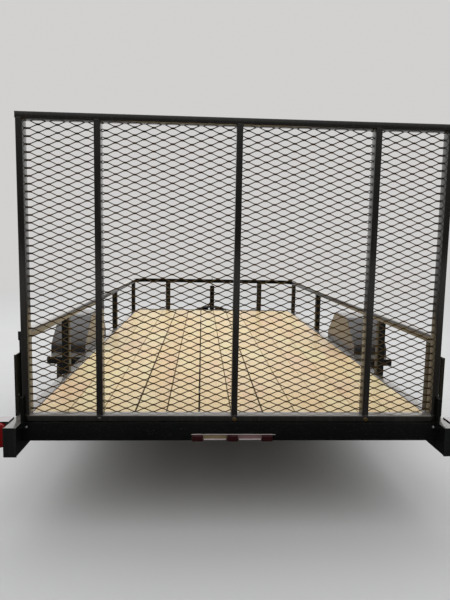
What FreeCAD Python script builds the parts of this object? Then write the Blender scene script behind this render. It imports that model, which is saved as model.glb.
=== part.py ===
"""Open utility trailer with a plank deck, a tube top rail, angular fenders and a mesh ramp gate at the rear.

Millimetres. X is to the right, Y is forward, towards the coupler, and Z is up.
The origin is on the ground, under the middle of the whole trailer.
Right-hand pieces are modelled and left-hand ones are their mirror images.
"""
import FreeCAD, Part
import math
import os
import Sketcher
from FreeCAD import Placement, Rotation, Vector

doc = FreeCAD.newDocument("utility_trailer")
NODES = []

# Driving dimensions

DIMS = (
    # name, millimetres, degrees or a count, what it is
    ("deck_length", "3658", "rear crossmember's rear face to the frame's front"),
    ("frame_width", "1829", "over the outer faces of the side rails"),
    ("deck_height", "470", "ground to the top of the planks"),
    ("side_tube", "50.8", "side rail tube, across"),
    ("side_height", "120", "side rail tube, up and down"),
    ("side_wall", "4.8", "side rail tube, wall"),
    ("side_overhang", "58", "side rails behind the rear crossmember"),
    ("end_depth", "50.8", "end crossmember tube, along the trailer"),
    ("end_height", "76.2", "end crossmember tube, up and down"),
    ("end_wall", "4.8", "end crossmember tube, wall"),
    ("cross_count", "6", "channels under the planks"),
    ("cross_height", "76.2", "channel under the planks, up and down"),
    ("cross_flange", "36", "channel under the planks, along the trailer"),
    ("channel_wall", "5", "wall of every channel"),
    ("plank_count", "12", "planks side by side"),
    ("plank_thick", "38.1", "plank thickness"),
    ("plank_gap", "3.2", "between two planks"),
    ("plank_edge_gap", "6.4", "between the outer planks and the side rails"),
    ("plank_end_gap", "3", "between the planks and the end crossmembers"),
    ("cap_thick", "3", "cap over an open tube end"),
    ("top_tube", "38.1", "top rail tube, square"),
    ("top_height", "352", "deck to the top rail's upper face"),
    ("top_wall", "3.2", "top rail tube, wall"),
    ("top_start", "130", "rear crossmember's rear face to the top rail's end"),
    ("bend_radius", "140", "top rail's front corners, at the tube's middle"),
    ("post_along", "50.8", "post tube, along the rail"),
    ("post_across", "38.1", "post tube, across the rail"),
    ("post_wall", "3.2", "post tube, wall"),
    ("post_rear", "160", "rear crossmember's rear face to the first post's middle"),
    ("post_second", "787", "the same, second post"),
    ("post_third", "2324", "the same, third post"),
    ("post_corner", "178", "frame's front to the middle of the post before the front corner"),
    ("front_post", "523", "middle of the trailer to a front post's middle"),
    ("ear_thick", "6", "rear corner plate on the side rail"),
    ("ear_height", "262", "rear corner plate, above the deck"),
    ("ear_start", "76", "rear crossmember's rear face to the corner plate"),
    ("ear_hole", "6.5", "radius of the pin hole in the corner plate"),
    ("ear_hole_up", "88", "pin hole's middle above the deck"),
    ("gate_height", "1216", "ramp gate's frame, bottom to top"),
    ("gate_side_gap", "6.4", "between the gate and the side rails"),
    ("gate_lift", "5", "between the rear crossmember and the gate"),
    ("gate_face", "25.4", "gate tube, width that shows from behind"),
    ("gate_depth", "50.8", "gate tube, along the trailer"),
    ("gate_wall", "2.4", "gate tube, wall"),
    ("gate_inner", "550", "middle of the gate to the middle of an inner upright"),
    ("mesh_thick", "3", "gate mesh sheet"),
    ("mesh_inset", "6", "gate frame's outline to the mesh sheet's edge"),
    ("mesh_strand", "9", "width of a mesh strand"),
    ("mesh_long", "262", "long pitch of the mesh diamonds, across the gate"),
    ("mesh_short", "106", "short pitch of the mesh diamonds, up the gate"),
    ("pivot_back", "15", "gate pivot behind the rear crossmember"),
    ("pivot_down", "19", "gate pivot below the deck"),
    ("pivot_pin", "8", "gate pivot pin, radius"),
    ("pivot_fit", "0.3", "pin to hole, radius"),
    ("pivot_past", "3", "gate pivot pin past the side rail's inner wall"),
    ("hinge_thick", "9.5", "gate hinge strap"),
    ("hinge_up", "110", "gate hinge strap, above the deck"),
    ("hinge_clear", "5", "gate hinge strap to the rear crossmember"),
    ("axle_place", "1664", "rear crossmember's rear face to the axle"),
    ("fender_wide", "229", "fender, outward from the side rail"),
    ("fender_rise", "229", "fender's flat top above the deck"),
    ("fender_top", "305", "length of the fender's flat top"),
    ("fender_length", "700", "whole fender"),
    ("fender_end_up", "51", "upper corner of the fender's short upright ends above the deck"),
    ("fender_end_down", "38", "lower edge of the fender below the deck"),
    ("fender_sheet", "3", "fender steel"),
    ("fender_lip", "30", "fender's turned-down outer lip"),
    ("step_long", "138", "step behind the fender, along the trailer"),
    ("step_wide", "213", "step behind the fender, outward"),
    ("step_lip", "44", "step's turned-down edge"),
    ("step_sheet", "4", "step plate"),
    ("tongue_reach", "1334", "frame's front to the coupler's nose"),
    ("tongue_tip", "965", "frame's front to the front ends of the tongue beams"),
    ("tongue_angle", "25", "each tongue beam from straight ahead, degrees"),
    ("tongue_tip_half", "50", "middle to the outer corner of a beam's front end"),
    ("tongue_height", "76.2", "tongue channel, up and down"),
    ("tongue_flange", "38", "tongue channel, across"),
    ("tongue_spare", "100", "extra length at each end of a tongue channel before it is trimmed"),
    ("jack_place", "860", "frame's front to the jack"),
    ("flange_thick", "6", "flange under which the jack is bolted down"),
    ("flange_radius", "50", "the same, radius"),
    ("jack_radius", "28.5", "jack's outer tube"),
    ("jack_wall", "3.2", "jack's outer tube, wall"),
    ("jack_up", "208", "jack's outer tube above the deck"),
    ("jack_down", "150", "jack's outer tube below the tongue"),
    ("jack_fit", "0.4", "leg to tube, radius"),
    ("jack_hole_fit", "0.3", "coupler's sheet to the jack's outer tube, radius"),
    ("jack_overlap", "130", "leg inside the outer tube as parked"),
    ("foot_wide", "150", "jack foot, square"),
    ("foot_thick", "5", "jack foot"),
    ("crank_arm", "110", "jack crank, jack's middle to its grip"),
    ("crank_up", "104", "top of the crank's grip above the jack's outer tube"),
    ("crank_bar", "16", "jack crank, width of its bar"),
    ("crank_lift", "14", "jack's outer tube to the crank's arm"),
    ("crank_thick", "8", "jack crank's arm, thickness"),
    ("ball_radius", "25.4", "hitch ball, a two-inch one"),
    ("ball_fit", "0.5", "ball to socket, radius"),
    ("ball_down", "95", "ball's middle below the deck"),
    ("coupler_wall", "12", "coupler round the socket"),
    ("coupler_plate", "6", "coupler's sheet"),
    ("coupler_back", "210", "coupler over the tongue beams"),
    ("coupler_taper", "40", "tongue beams' front ends to the coupler's neck"),
    ("latch_back", "52", "ball to the rear of the latch's pivot block"),
    ("latch_long", "30", "latch's pivot block, along the trailer"),
    ("latch_size", "16", "latch's pivot block, width and height"),
    ("lever_back", "100", "ball to the rear end of the latch lever"),
    ("lever_long", "110", "latch lever"),
    ("lever_wide", "20", "latch lever"),
    ("lever_thick", "5", "latch lever"),
    ("tyre_radius", "305", "tyre, to the tread"),
    ("tyre_width", "178", "tyre"),
    ("tyre_fit", "0.3", "tyre to rim"),
    ("bead_radius", "166", "tyre on its rim"),
    ("bead_rise", "12", "upright part of the tyre's side next to the rim"),
    ("side_rise", "40", "bead to the widest part of the tyre's side"),
    ("shoulder_rise", "16", "bevel between side and tread, inward"),
    ("shoulder_side", "10", "the same bevel, sideways"),
    ("rim_width", "114", "rim between its flanges"),
    ("rim_sheet", "4", "rim steel"),
    ("rim_bore", "35", "radius of the hole in the middle of the wheel disc"),
    ("rim_window", "19", "eight-sided window in the wheel disc, middle to a corner"),
    ("window_circle", "118", "wheel's middle to a window's middle"),
    ("rim_windows", "8", "windows in the wheel disc"),
    ("wheel_gap", "38", "side rail to the tyre's inner side"),
    ("hub_radius", "68", "hub flange"),
    ("hub_barrel", "33", "hub barrel radius"),
    ("hub_cap", "30", "hub cap radius"),
    ("hub_floor", "16", "thickness of the hub cap's end"),
    ("hub_flange", "9.2", "hub flange thickness"),
    ("hub_nose", "52", "hub cap's tip outside the wheel's middle plane"),
    ("hub_fit", "0.3", "hub flange to wheel disc"),
    ("hub_gap", "6", "drop arm to hub"),
    ("spindle_radius", "17", "axle spindle"),
    ("spindle_fit", "0.3", "spindle to hub, radius"),
    ("spindle_end", "3", "spindle's end to the hub cap"),
    ("axle_drop", "102", "axle beam below the spindles"),
    ("axle_tube", "60", "axle beam, square tube"),
    ("axle_wall", "6", "axle beam tube, wall"),
    ("arm_thick", "26", "drop arm between beam and spindle"),
    ("arm_long", "56", "drop arm, along the trailer"),
    ("arm_gap", "5", "spring to drop arm"),
    ("spring_span", "660", "leaf spring, eye to eye"),
    ("spring_width", "44", "leaf spring"),
    ("leaf_thick", "6.5", "one leaf"),
    ("leaf_count", "4", "leaves"),
    ("eye_radius", "14", "leaf spring eye"),
    ("spring_fit", "0.3", "spring to its hanger, each side"),
    ("hanger_sheet", "5", "spring hanger steel"),
    ("hanger_rim", "6", "spring hanger round the eye"),
    ("hanger_drop", "45", "side rail's underside to the spring eye"),
    ("seat_thick", "5", "spring seat on the axle"),
    ("lamp_up", "4", "tail lamp's top above the deck"),
    ("lamp_wide", "127", "tail lamp, outward from the side rail"),
    ("lamp_tall", "108", "tail lamp"),
    ("lamp_deep", "60", "tail lamp body, along the trailer"),
    ("lens_deep", "20", "tail lamp lens"),
    ("lens_side", "6", "lens inside the lamp's outline, sideways"),
    ("lens_edge", "4", "lens inside the lamp's outline, up and down"),
    ("bar_wide", "343", "rear lamp bar"),
    ("bar_tall", "29", "rear lamp bar"),
    ("bar_thick", "4", "rear lamp bar's plate"),
    ("bar_lamp_wide", "46", "one lamp of the bar"),
    ("bar_lamp_tall", "22", "one lamp of the bar"),
    ("bar_lamp_deep", "14", "one lamp of the bar"),
    ("bar_pitch", "147", "lamp to lamp on the bar"),
)

# Places worked out from the driving dimensions

PLACES = (
    # name, formula, what it is
    ("rear", "=(dims.side_overhang + dims.cap_thick - dims.deck_length - dims.tongue_reach) / 2",
     "rear crossmember's rear face, Y"),
    ("front", "=rear + dims.deck_length", "frame's front, Y"),
    ("outer", "=dims.frame_width / 2", "side rail's outer face, X"),
    ("inner", "=outer - dims.side_tube", "side rail's inner face, X"),
    ("side_low", "=dims.deck_height - dims.side_height", "side rail's underside, Z"),
    ("end_low", "=dims.deck_height - dims.end_height", "end crossmember's underside, Z"),
    ("plank_low", "=dims.deck_height - dims.plank_thick", "planks' underside, Z"),
    ("plank_wide", "=(2 * inner - 2 * dims.plank_edge_gap - (dims.plank_count - 1) * dims.plank_gap)"
                   " / dims.plank_count", "one plank"),
    ("plank_rear", "=rear + dims.end_depth + dims.plank_end_gap", "planks' rear ends, Y"),
    ("plank_front", "=front - dims.end_depth - dims.plank_end_gap", "planks' front ends, Y"),
    ("cross_pitch", "=(dims.deck_length - 2 * dims.end_depth) / (dims.cross_count + 1)",
     "crossmember pitch"),
    ("cross_first", "=rear + dims.end_depth + cross_pitch - dims.cross_flange / 2",
     "first channel's rear side, Y"),
    ("cross_last", "=cross_first + (dims.cross_count - 1) * cross_pitch + dims.cross_flange",
     "last channel's front side, Y"),
    ("top_low", "=dims.deck_height + dims.top_height - dims.top_tube", "top rail's underside, Z"),
    ("top_middle", "=outer - dims.top_tube / 2", "top rail's middle line, X"),
    ("bend_start", "=front - dims.top_tube / 2 - dims.bend_radius", "front corner's bend starts, Y"),
    ("bend_middle", "=top_middle - dims.bend_radius", "front corner's bend ends, X"),
    ("gate_half", "=inner - dims.gate_side_gap", "gate's side, X"),
    ("gate_low", "=dims.deck_height + dims.gate_lift", "gate's underside, Z"),
    ("gate_high", "=gate_low + dims.gate_height", "gate's top, Z"),
    ("pivot_y", "=rear - dims.pivot_back", "gate pivot, Y"),
    ("pivot_z", "=dims.deck_height - dims.pivot_down", "gate pivot, Z"),
    ("axle_y", "=rear + dims.axle_place", "wheel centre, Y"),
    ("wheel_x", "=outer + dims.wheel_gap + dims.tyre_width / 2", "wheel centre, X"),
    ("beam_z", "=dims.tyre_radius - dims.axle_drop", "axle beam's middle, Z"),
    ("spring_x", "=outer - dims.side_tube / 2", "leaf spring's middle, X"),
    ("seat_z", "=beam_z + dims.axle_tube / 2 + dims.seat_thick", "spring seat's top, Z"),
    ("eye_z", "=side_low - dims.hanger_drop", "spring eye, Z"),
    ("arm_in", "=spring_x + dims.spring_width / 2 + dims.arm_gap", "drop arm's inner side, X"),
    ("arm_out", "=arm_in + dims.arm_thick", "drop arm's outer side, X"),
    ("tip_y", "=front + dims.tongue_tip", "tongue beams' front ends, Y"),
    ("tongue_high", "=end_low", "tongue beams' top, Z"),
    ("tongue_low", "=end_low - dims.tongue_height", "tongue beams' underside, Z"),
    ("jack_y", "=front + dims.jack_place", "jack, Y"),
    ("neck", "=dims.ball_radius + dims.coupler_wall", "coupler's half width and the radius round its socket"),
    ("ball_y", "=front + dims.tongue_reach - neck", "ball, Y"),
    ("ball_z", "=dims.deck_height - dims.ball_down", "ball, Z"),
    ("leg_radius", "=dims.jack_radius - dims.jack_wall - dims.jack_fit", "jack leg"),
    ("jack_low", "=tongue_low - dims.jack_down", "jack's outer tube, lower end, Z"),
    ("jack_high", "=dims.deck_height + dims.jack_up", "jack's outer tube, upper end, Z"),
)


def sheet(name, rows):
    """A spreadsheet with one named cell in each row."""
    made = doc.addObject("Spreadsheet::Sheet", name)
    for line, (alias, content, note) in enumerate(rows, start=1):
        made.set(f"A{line}", alias)
        made.set(f"B{line}", content)
        made.set(f"C{line}", note)
        made.setAlias(f"B{line}", alias)
    doc.recompute()
    return made


dims = sheet("dims", DIMS)
place = sheet("place", PLACES)

# Shorthand for features bound to the sheets


def bind(feature, **formulas):
    """Tie a feature's properties to formulas. A double underscore stands for a dot."""
    for name, formula in formulas.items():
        feature.setExpression(name.replace("__", "."), formula)
    return feature


def put(feature, x, y, z):
    """Tie a feature's place to three formulas."""
    return bind(feature, Placement__Base__x=x, Placement__Base__y=y, Placement__Base__z=z)


def box(name, x, y, z, wide, deep, tall):
    """A block from its low corner and its sizes along X, Y and Z."""
    made = doc.addObject("Part::Box", name)
    bind(made, Length=wide, Width=deep, Height=tall)
    return put(made, x, y, z)


TURNS = {"X": Rotation(Vector(0, 1, 0), 90), "Y": Rotation(Vector(1, 0, 0), -90), "Z": Rotation()}


def rod(name, axis, x, y, z, radius, length):
    """A cylinder that starts at x, y, z and runs along the positive axis."""
    made = doc.addObject("Part::Cylinder", name)
    made.Placement = Placement(Vector(), TURNS[axis])
    bind(made, Radius=radius, Height=length)
    return put(made, x, y, z)


def ball(name, x, y, z, radius):
    """A whole ball."""
    made = doc.addObject("Part::Sphere", name)
    bind(made, Radius=radius)
    return put(made, x, y, z)


def fuse(name, *pieces):
    """Several pieces welded into one."""
    made = doc.addObject("Part::MultiFuse", name)
    made.Shapes = list(pieces)
    made.Refine = True
    return made


def group(name, *pieces):
    """Like pieces that don't touch, kept as separate solids of one node."""
    made = doc.addObject("Part::Compound", name)
    made.Links = list(pieces)
    return made


def cut(name, base, tool):
    """A piece with another taken out of it."""
    made = doc.addObject("Part::Cut", name)
    made.Base = base
    made.Tool = tool
    made.Refine = True
    return made


def common(name, base, tool):
    """What two pieces share."""
    made = doc.addObject("Part::Common", name)
    made.Base = base
    made.Tool = tool
    made.Refine = True
    return made


def mirror(name, source):
    """The left-hand twin of a right-hand piece."""
    made = doc.addObject("Part::Mirroring", name)
    made.Source = source
    made.Normal = Vector(1, 0, 0)
    return made


def tube(name, run, x, y, z, wide, deep, tall, wall):
    """A rectangular tube from its low corner, open at both ends of its run along X, Y or Z."""
    sizes = dict(zip("XYZ", (wide, deep, tall)))
    starts = dict(zip("XYZ", (x, y, z)))
    hole_size = {a: s if a == run else f"{s} - 2 * {wall}" for a, s in sizes.items()}
    hole_start = {a: s if a == run else f"{s} + {wall}" for a, s in starts.items()}
    outside = box(f"{name}_outside", x, y, z, wide, deep, tall)
    inside = box(f"{name}_inside", *hole_start.values(), *hole_size.values())
    return cut(name, outside, inside)


def node(made):
    """Register a finished sub-part; its name is its file's name."""
    NODES.append(made)
    return made


def pair(right):
    """Register a right-hand sub-part and its left-hand twin."""
    node(right)
    return node(mirror(right.Name.replace("_right", "_left"), right))


def both_sides(name, *right):
    """One sub-part of right-hand solids and their left-hand twins, none of which touch."""
    return group(name, *right, *[mirror(f"{piece.Name}_left", piece) for piece in right])


# Bodies made from sketches


def body(name):
    return doc.addObject("PartDesign::Body", name)


def origin_feature(owner, role):
    return next(f for f in owner.Origin.OriginFeatures if f.Role == role)


def sketch(owner, name, plane, points, offset="0"):
    """A closed outline on an origin plane: each corner is held by two formulas measured from the origin."""
    made = owner.newObject("Sketcher::SketchObject", name)
    made.AttachmentSupport = [(origin_feature(owner, plane), "")]
    made.MapMode = "FlatFace"
    made.setExpression("AttachmentOffset.Base.z", offset)
    count = len(points)
    ring = [Vector(100 * math.cos(2 * math.pi * i / count), 100 * math.sin(2 * math.pi * i / count))
            for i in range(count)]
    for i in range(count):
        made.addGeometry(Part.LineSegment(ring[i], ring[(i + 1) % count]), False)
    for i in range(count):
        made.addConstraint(Sketcher.Constraint("Coincident", i, 2, (i + 1) % count, 1))
    for i, (across, up) in enumerate(points):
        for kind, formula in (("DistanceX", across), ("DistanceY", up)):
            held = made.addConstraint(Sketcher.Constraint(kind, -1, 1, i, 1, 1.0))
            made.setExpression(f"Constraints[{held}]", formula)
    return made


def pad(owner, outline, length):
    made = owner.newObject("PartDesign::Pad", f"{outline.Name}_pad")
    made.Profile = outline
    made.setExpression("Length", length)
    return made


def pocket(owner, outline, length):
    """Cut away along the sketch's own normal."""
    made = owner.newObject("PartDesign::Pocket", f"{outline.Name}_pocket")
    made.Profile = outline
    made.Reversed = True
    made.setExpression("Length", length)
    return made


def turned(owner, outline):
    """Revolve an outline about the sketch's horizontal axis."""
    made = owner.newObject("PartDesign::Revolution", f"{outline.Name}_turned")
    made.Profile = outline
    made.ReferenceAxis = (outline, ["H_Axis"])
    made.Angle = 360
    return made


# Main frame: side rails, end crossmembers and the channels under the planks


def main_frame():
    rail = tube("side_rail", "Y", "place.inner", "place.rear - dims.side_overhang", "place.side_low",
                "dims.side_tube", "dims.deck_length + dims.side_overhang", "dims.side_height",
                "dims.side_wall")
    hole = rod("pivot_hole", "X", "place.inner - 1", "place.pivot_y", "place.pivot_z",
               "dims.pivot_pin + dims.pivot_fit", "dims.side_wall + 2")
    pair(cut("side_rail_right", rail, hole))

    for name, y in (("crossmember_rear", "place.rear"),
                    ("crossmember_front", "place.front - dims.end_depth")):
        node(tube(name, "X", "-place.inner", y, "place.end_low",
                  "2 * place.inner", "dims.end_depth", "dims.end_height", "dims.end_wall"))

    channels = []
    low, wall = "place.plank_low - dims.cross_height", "dims.channel_wall"
    for i in range(int(dims.cross_count)):
        y = f"place.cross_first + {i} * place.cross_pitch"
        outside = box(f"channel_{i}", "-place.inner", y, low, "2 * place.inner", "dims.cross_flange",
                      "dims.cross_height")
        inside = box(f"channel_{i}_inside", "-place.inner", f"{y} + {wall}", f"{low} + {wall}",
                     "2 * place.inner", "dims.cross_flange", f"dims.cross_height - 2 * {wall}")
        channels.append(cut(f"channel_{i}_cut", outside, inside))
    node(group("crossmembers", *channels))

    caps = [box("cap_rear", "place.inner", "place.rear - dims.side_overhang - dims.cap_thick",
                "place.side_low", "dims.side_tube", "dims.cap_thick", "dims.side_height"),
            box("cap_front", "place.inner", "place.front", "place.side_low",
                "dims.side_tube", "dims.cap_thick", "dims.side_height"),
            box("cap_top_rail", "place.outer - dims.top_tube",
                "place.rear + dims.top_start - dims.cap_thick", "place.top_low",
                "dims.top_tube", "dims.cap_thick", "dims.top_tube")]
    node(both_sides("tube_caps", *caps))


# Plank deck


def deck():
    planks = []
    for i in range(int(dims.plank_count)):
        x = f"-place.inner + dims.plank_edge_gap + {i} * (place.plank_wide + dims.plank_gap)"
        planks.append(box(f"plank_{i}", x, "place.plank_rear", "place.plank_low",
                          "place.plank_wide", "place.plank_front - place.plank_rear",
                          "dims.plank_thick"))
    node(group("deck_planks", *planks))


# Top rail: two straight sides and a front length with bent corners, on posts


def bent_corner(name, shrink):
    """A quarter ring of square section, taken in by shrink all round."""
    rings = []
    for part, radius in (("far", f"dims.bend_radius + dims.top_tube / 2 - {shrink}"),
                         ("near", f"dims.bend_radius - dims.top_tube / 2 + {shrink}")):
        ring = rod(f"{name}_{part}", "Z", "place.bend_middle", "place.bend_start",
                   f"place.top_low + {shrink}", radius, f"dims.top_tube - 2 * {shrink}")
        ring.Angle = 90
        rings.append(ring)
    return cut(name, *rings)


def top_rail():
    pair(tube("top_rail_right", "Y", "place.outer - dims.top_tube", "place.rear + dims.top_start",
              "place.top_low", "dims.top_tube", "place.bend_start - place.rear - dims.top_start",
              "dims.top_tube", "dims.top_wall"))
    straight = tube("front_straight", "X", "-place.bend_middle", "place.front - dims.top_tube",
                    "place.top_low", "2 * place.bend_middle", "dims.top_tube", "dims.top_tube",
                    "dims.top_wall")
    corner = cut("corner_right", bent_corner("corner_outside", "0"),
                 bent_corner("corner_inside", "dims.top_wall"))
    node(fuse("top_rail_front", straight, corner, mirror("corner_left", corner)))

    tall = "place.top_low - dims.deck_height"
    side = [tube(name, "Z", "place.outer - dims.post_across",
                 f"{end} dims.{name} - dims.post_along / 2", "dims.deck_height",
                 "dims.post_across", "dims.post_along", tall, "dims.post_wall")
            for name, end in (("post_rear", "place.rear +"), ("post_second", "place.rear +"),
                              ("post_third", "place.rear +"), ("post_corner", "place.front -"))]
    pair(group("posts_right", *side))
    front = [tube(name, "Z", f"{sign}dims.front_post - dims.post_along / 2",
                  "place.front - dims.post_across", "dims.deck_height",
                  "dims.post_along", "dims.post_across", tall, "dims.post_wall")
             for name, sign in (("front_post_right", ""), ("front_post_left", "-"))]
    node(group("posts_front", *front))


def corner_plates():
    plate = box("ear", "place.outer - dims.ear_thick", "place.rear + dims.ear_start",
                "dims.deck_height", "dims.ear_thick",
                "dims.post_rear - dims.post_along / 2 - dims.ear_start", "dims.ear_height")
    hole = rod("ear_hole", "X", "place.outer - dims.ear_thick - 1",
               "place.rear + (dims.ear_start + dims.post_rear - dims.post_along / 2) / 2",
               "dims.deck_height + dims.ear_hole_up", "dims.ear_hole", "dims.ear_thick + 2")
    node(both_sides("corner_plates", cut("corner_plate", plate, hole)))


# Ramp gate: tube frame, expanded mesh on its front face, hinge straps and pins


def gate():
    rung = "dims.gate_face"
    rails = [tube(name, "X", "-place.gate_half", "place.rear", z, "2 * place.gate_half",
                  "dims.gate_depth", rung, "dims.gate_wall")
             for name, z in (("gate_foot", "place.gate_low"),
                             ("gate_head", "place.gate_high - dims.gate_face"))]
    node(group("gate_rails", *rails))
    middles = ("-place.gate_half + dims.gate_face / 2", "-dims.gate_inner", "0", "dims.gate_inner",
               "place.gate_half - dims.gate_face / 2")
    uprights = [tube(f"gate_upright_{i}", "Z", f"{x} - dims.gate_face / 2", "place.rear",
                     "place.gate_low + dims.gate_face", rung, "dims.gate_depth",
                     "dims.gate_height - 2 * dims.gate_face", "dims.gate_wall")
                for i, x in enumerate(middles)]
    node(group("gate_uprights", *uprights))

    inside, thick = "place.gate_half - dims.hinge_thick", "dims.hinge_thick"
    half = "(dims.pivot_back - dims.hinge_clear)"
    strap_back = f"place.pivot_y - {half}"
    strap = box("strap", inside, strap_back, "place.pivot_z", thick, f"2 * {half}",
                "dims.deck_height + dims.hinge_up - place.pivot_z")
    seat = box("strap_seat", inside, strap_back, "place.gate_low + dims.gate_face", thick,
               f"place.rear - ({strap_back})",
               "dims.deck_height + dims.hinge_up - place.gate_low - dims.gate_face")
    toe = rod("strap_toe", "X", inside, "place.pivot_y", "place.pivot_z", half, thick)
    pin = rod("pivot_pin", "X", "place.gate_half", "place.pivot_y", "place.pivot_z",
              "dims.pivot_pin", "dims.gate_side_gap + dims.side_wall + dims.pivot_past")
    pair(fuse("gate_hinge_right", strap, seat, toe, pin))

    caps = [box(f"gate_cap_{i}", "place.gate_half", "place.rear", z, "dims.gate_wall / 2",
                "dims.gate_depth", rung)
            for i, z in enumerate(("place.gate_low", "place.gate_high - dims.gate_face"))]
    node(both_sides("gate_caps", *caps))


def clip(points, low, high, axis):
    """Cut a polygon to the band between low and high along one axis."""
    for limit, side in ((low, 1), (high, -1)):
        kept = []
        for a, b in zip(points, points[1:] + points[:1]):
            in_a, in_b = side * (a[axis] - limit) >= 0, side * (b[axis] - limit) >= 0
            if in_a:
                kept.append(a)
            if in_a != in_b:
                t = (limit - a[axis]) / (b[axis] - a[axis])
                kept.append((a[0] + t * (b[0] - a[0]), a[1] + t * (b[1] - a[1])))
        points = kept
    return points


def gate_mesh():
    """Expanded steel sheet: staggered diamond openings in one flat sheet, those at its edge cut short."""
    half = place.gate_half - dims.mesh_inset
    low, high = place.gate_low + dims.mesh_inset, place.gate_high - dims.mesh_inset
    columns = round(2 * half / dims.mesh_long)
    rows = round((high - low) / dims.mesh_short)
    long, short = 2 * half / columns, (high - low) / rows
    lean = math.atan2(short, long)
    reach = long / 2 - dims.mesh_strand / 2 / math.sin(lean)
    rise = short / 2 - dims.mesh_strand / 2 / math.cos(lean)
    back = place.rear + dims.gate_depth

    def wire(points):
        corners = [Vector(x, back, z) for x, z in points]
        return Part.makePolygon(corners + corners[:1])

    sheet_edge = wire([(-half, low), (half, low), (half, high), (-half, high)])
    openings = []
    border = dims.mesh_strand
    for row in range(2 * rows + 1):
        z = low + row * short / 2
        for column in range(columns + 1 - row % 2):
            x = -half + (column + 0.5 * (row % 2)) * long
            diamond = [(x - reach, z), (x, z - rise), (x + reach, z), (x, z + rise)]
            diamond = clip(diamond, -half + border, half - border, 0)
            diamond = clip(diamond, low + border, high - border, 1) if len(diamond) > 2 else diamond
            if len(diamond) > 2:
                openings.append(wire(diamond))
    panel = doc.addObject("Part::Feature", "gate_mesh")
    flat = Part.makeFace([sheet_edge] + openings, "Part::FaceMakerBullseye")
    panel.Shape = flat.extrude(Vector(0, dims.mesh_thick, 0))
    node(panel)


# Fenders and the steps behind them


def fender_outline(shrink):
    """Side view of the fender, taken in by shrink: Y and Z of each corner, clockwise from the rear foot."""
    ends, top = "dims.fender_length / 2", "dims.fender_top / 2"
    high = f"dims.deck_height + dims.fender_rise - {shrink}"
    shoulder = f"dims.deck_height + dims.fender_end_up - {shrink} / 2"
    foot = "dims.deck_height - dims.fender_end_down"
    foot = foot if shrink == "0" else f"{foot} - 1"
    return [(f"place.axle_y - {ends} + {shrink}", foot),
            (f"place.axle_y - {ends} + {shrink}", shoulder),
            (f"place.axle_y - {top} + {shrink} / 2", high),
            (f"place.axle_y + {top} - {shrink} / 2", high),
            (f"place.axle_y + {ends} - {shrink}", shoulder),
            (f"place.axle_y + {ends} - {shrink}", foot)]


def fender():
    made = body("fender_right")
    pad(made, sketch(made, "fender_shape", "YZ_Plane", fender_outline("0"), "place.outer"),
        "dims.fender_wide")
    pocket(made, sketch(made, "fender_hollow", "YZ_Plane", fender_outline("dims.fender_sheet"),
                        "place.outer + dims.fender_sheet"), "dims.fender_wide - 2 * dims.fender_sheet")
    pocket(made, sketch(made, "fender_mouth", "YZ_Plane", fender_outline("dims.fender_lip"),
                        "place.outer + dims.fender_wide - dims.fender_sheet - 1"), "dims.fender_sheet + 2")
    pair(made)


def step():
    back = "place.axle_y - dims.fender_length / 2 - dims.step_long"
    low = "dims.deck_height - dims.step_lip"
    plate = box("step_plate", "place.outer", back, "dims.deck_height - dims.step_sheet",
                "dims.step_wide", "dims.step_long", "dims.step_sheet")
    lip = box("step_edge", "place.outer", back, low, "dims.step_wide", "dims.step_sheet",
              "dims.step_lip")
    side = box("step_side", "place.outer + dims.step_wide - dims.step_sheet", back, low,
               "dims.step_sheet", "dims.step_long", "dims.step_lip")
    pair(fuse("fender_step_right", plate, lip, side))


# Axle with dropped ends, leaf springs and their hangers


def axle():
    half = "dims.axle_tube / 2"
    beam = tube("axle_tube", "X", "-place.arm_in", f"place.axle_y - {half}", f"place.beam_z - {half}",
                "2 * place.arm_in", "dims.axle_tube", "dims.axle_tube", "dims.axle_wall")
    arm = box("drop_arm", "place.arm_in", "place.axle_y - dims.arm_long / 2", f"place.beam_z - {half}",
              "dims.arm_thick", "dims.arm_long", f"dims.axle_drop + {half} + dims.arm_long / 2")
    spindle = rod("spindle", "X", "place.arm_out", "place.axle_y", "dims.tyre_radius",
                  "dims.spindle_radius",
                  "place.wheel_x + dims.hub_nose - dims.hub_floor - dims.spindle_end - place.arm_out")
    seat = box("spring_seat", "place.spring_x - dims.spring_width / 2",
               "place.axle_y - dims.spring_width", "place.seat_z - dims.seat_thick",
               "dims.spring_width", "2 * dims.spring_width", "dims.seat_thick")
    end = fuse("axle_end", arm, spindle)
    node(fuse("axle_beam", beam, end, mirror("axle_end_left", end), seat, mirror("seat_left", seat)))


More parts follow.
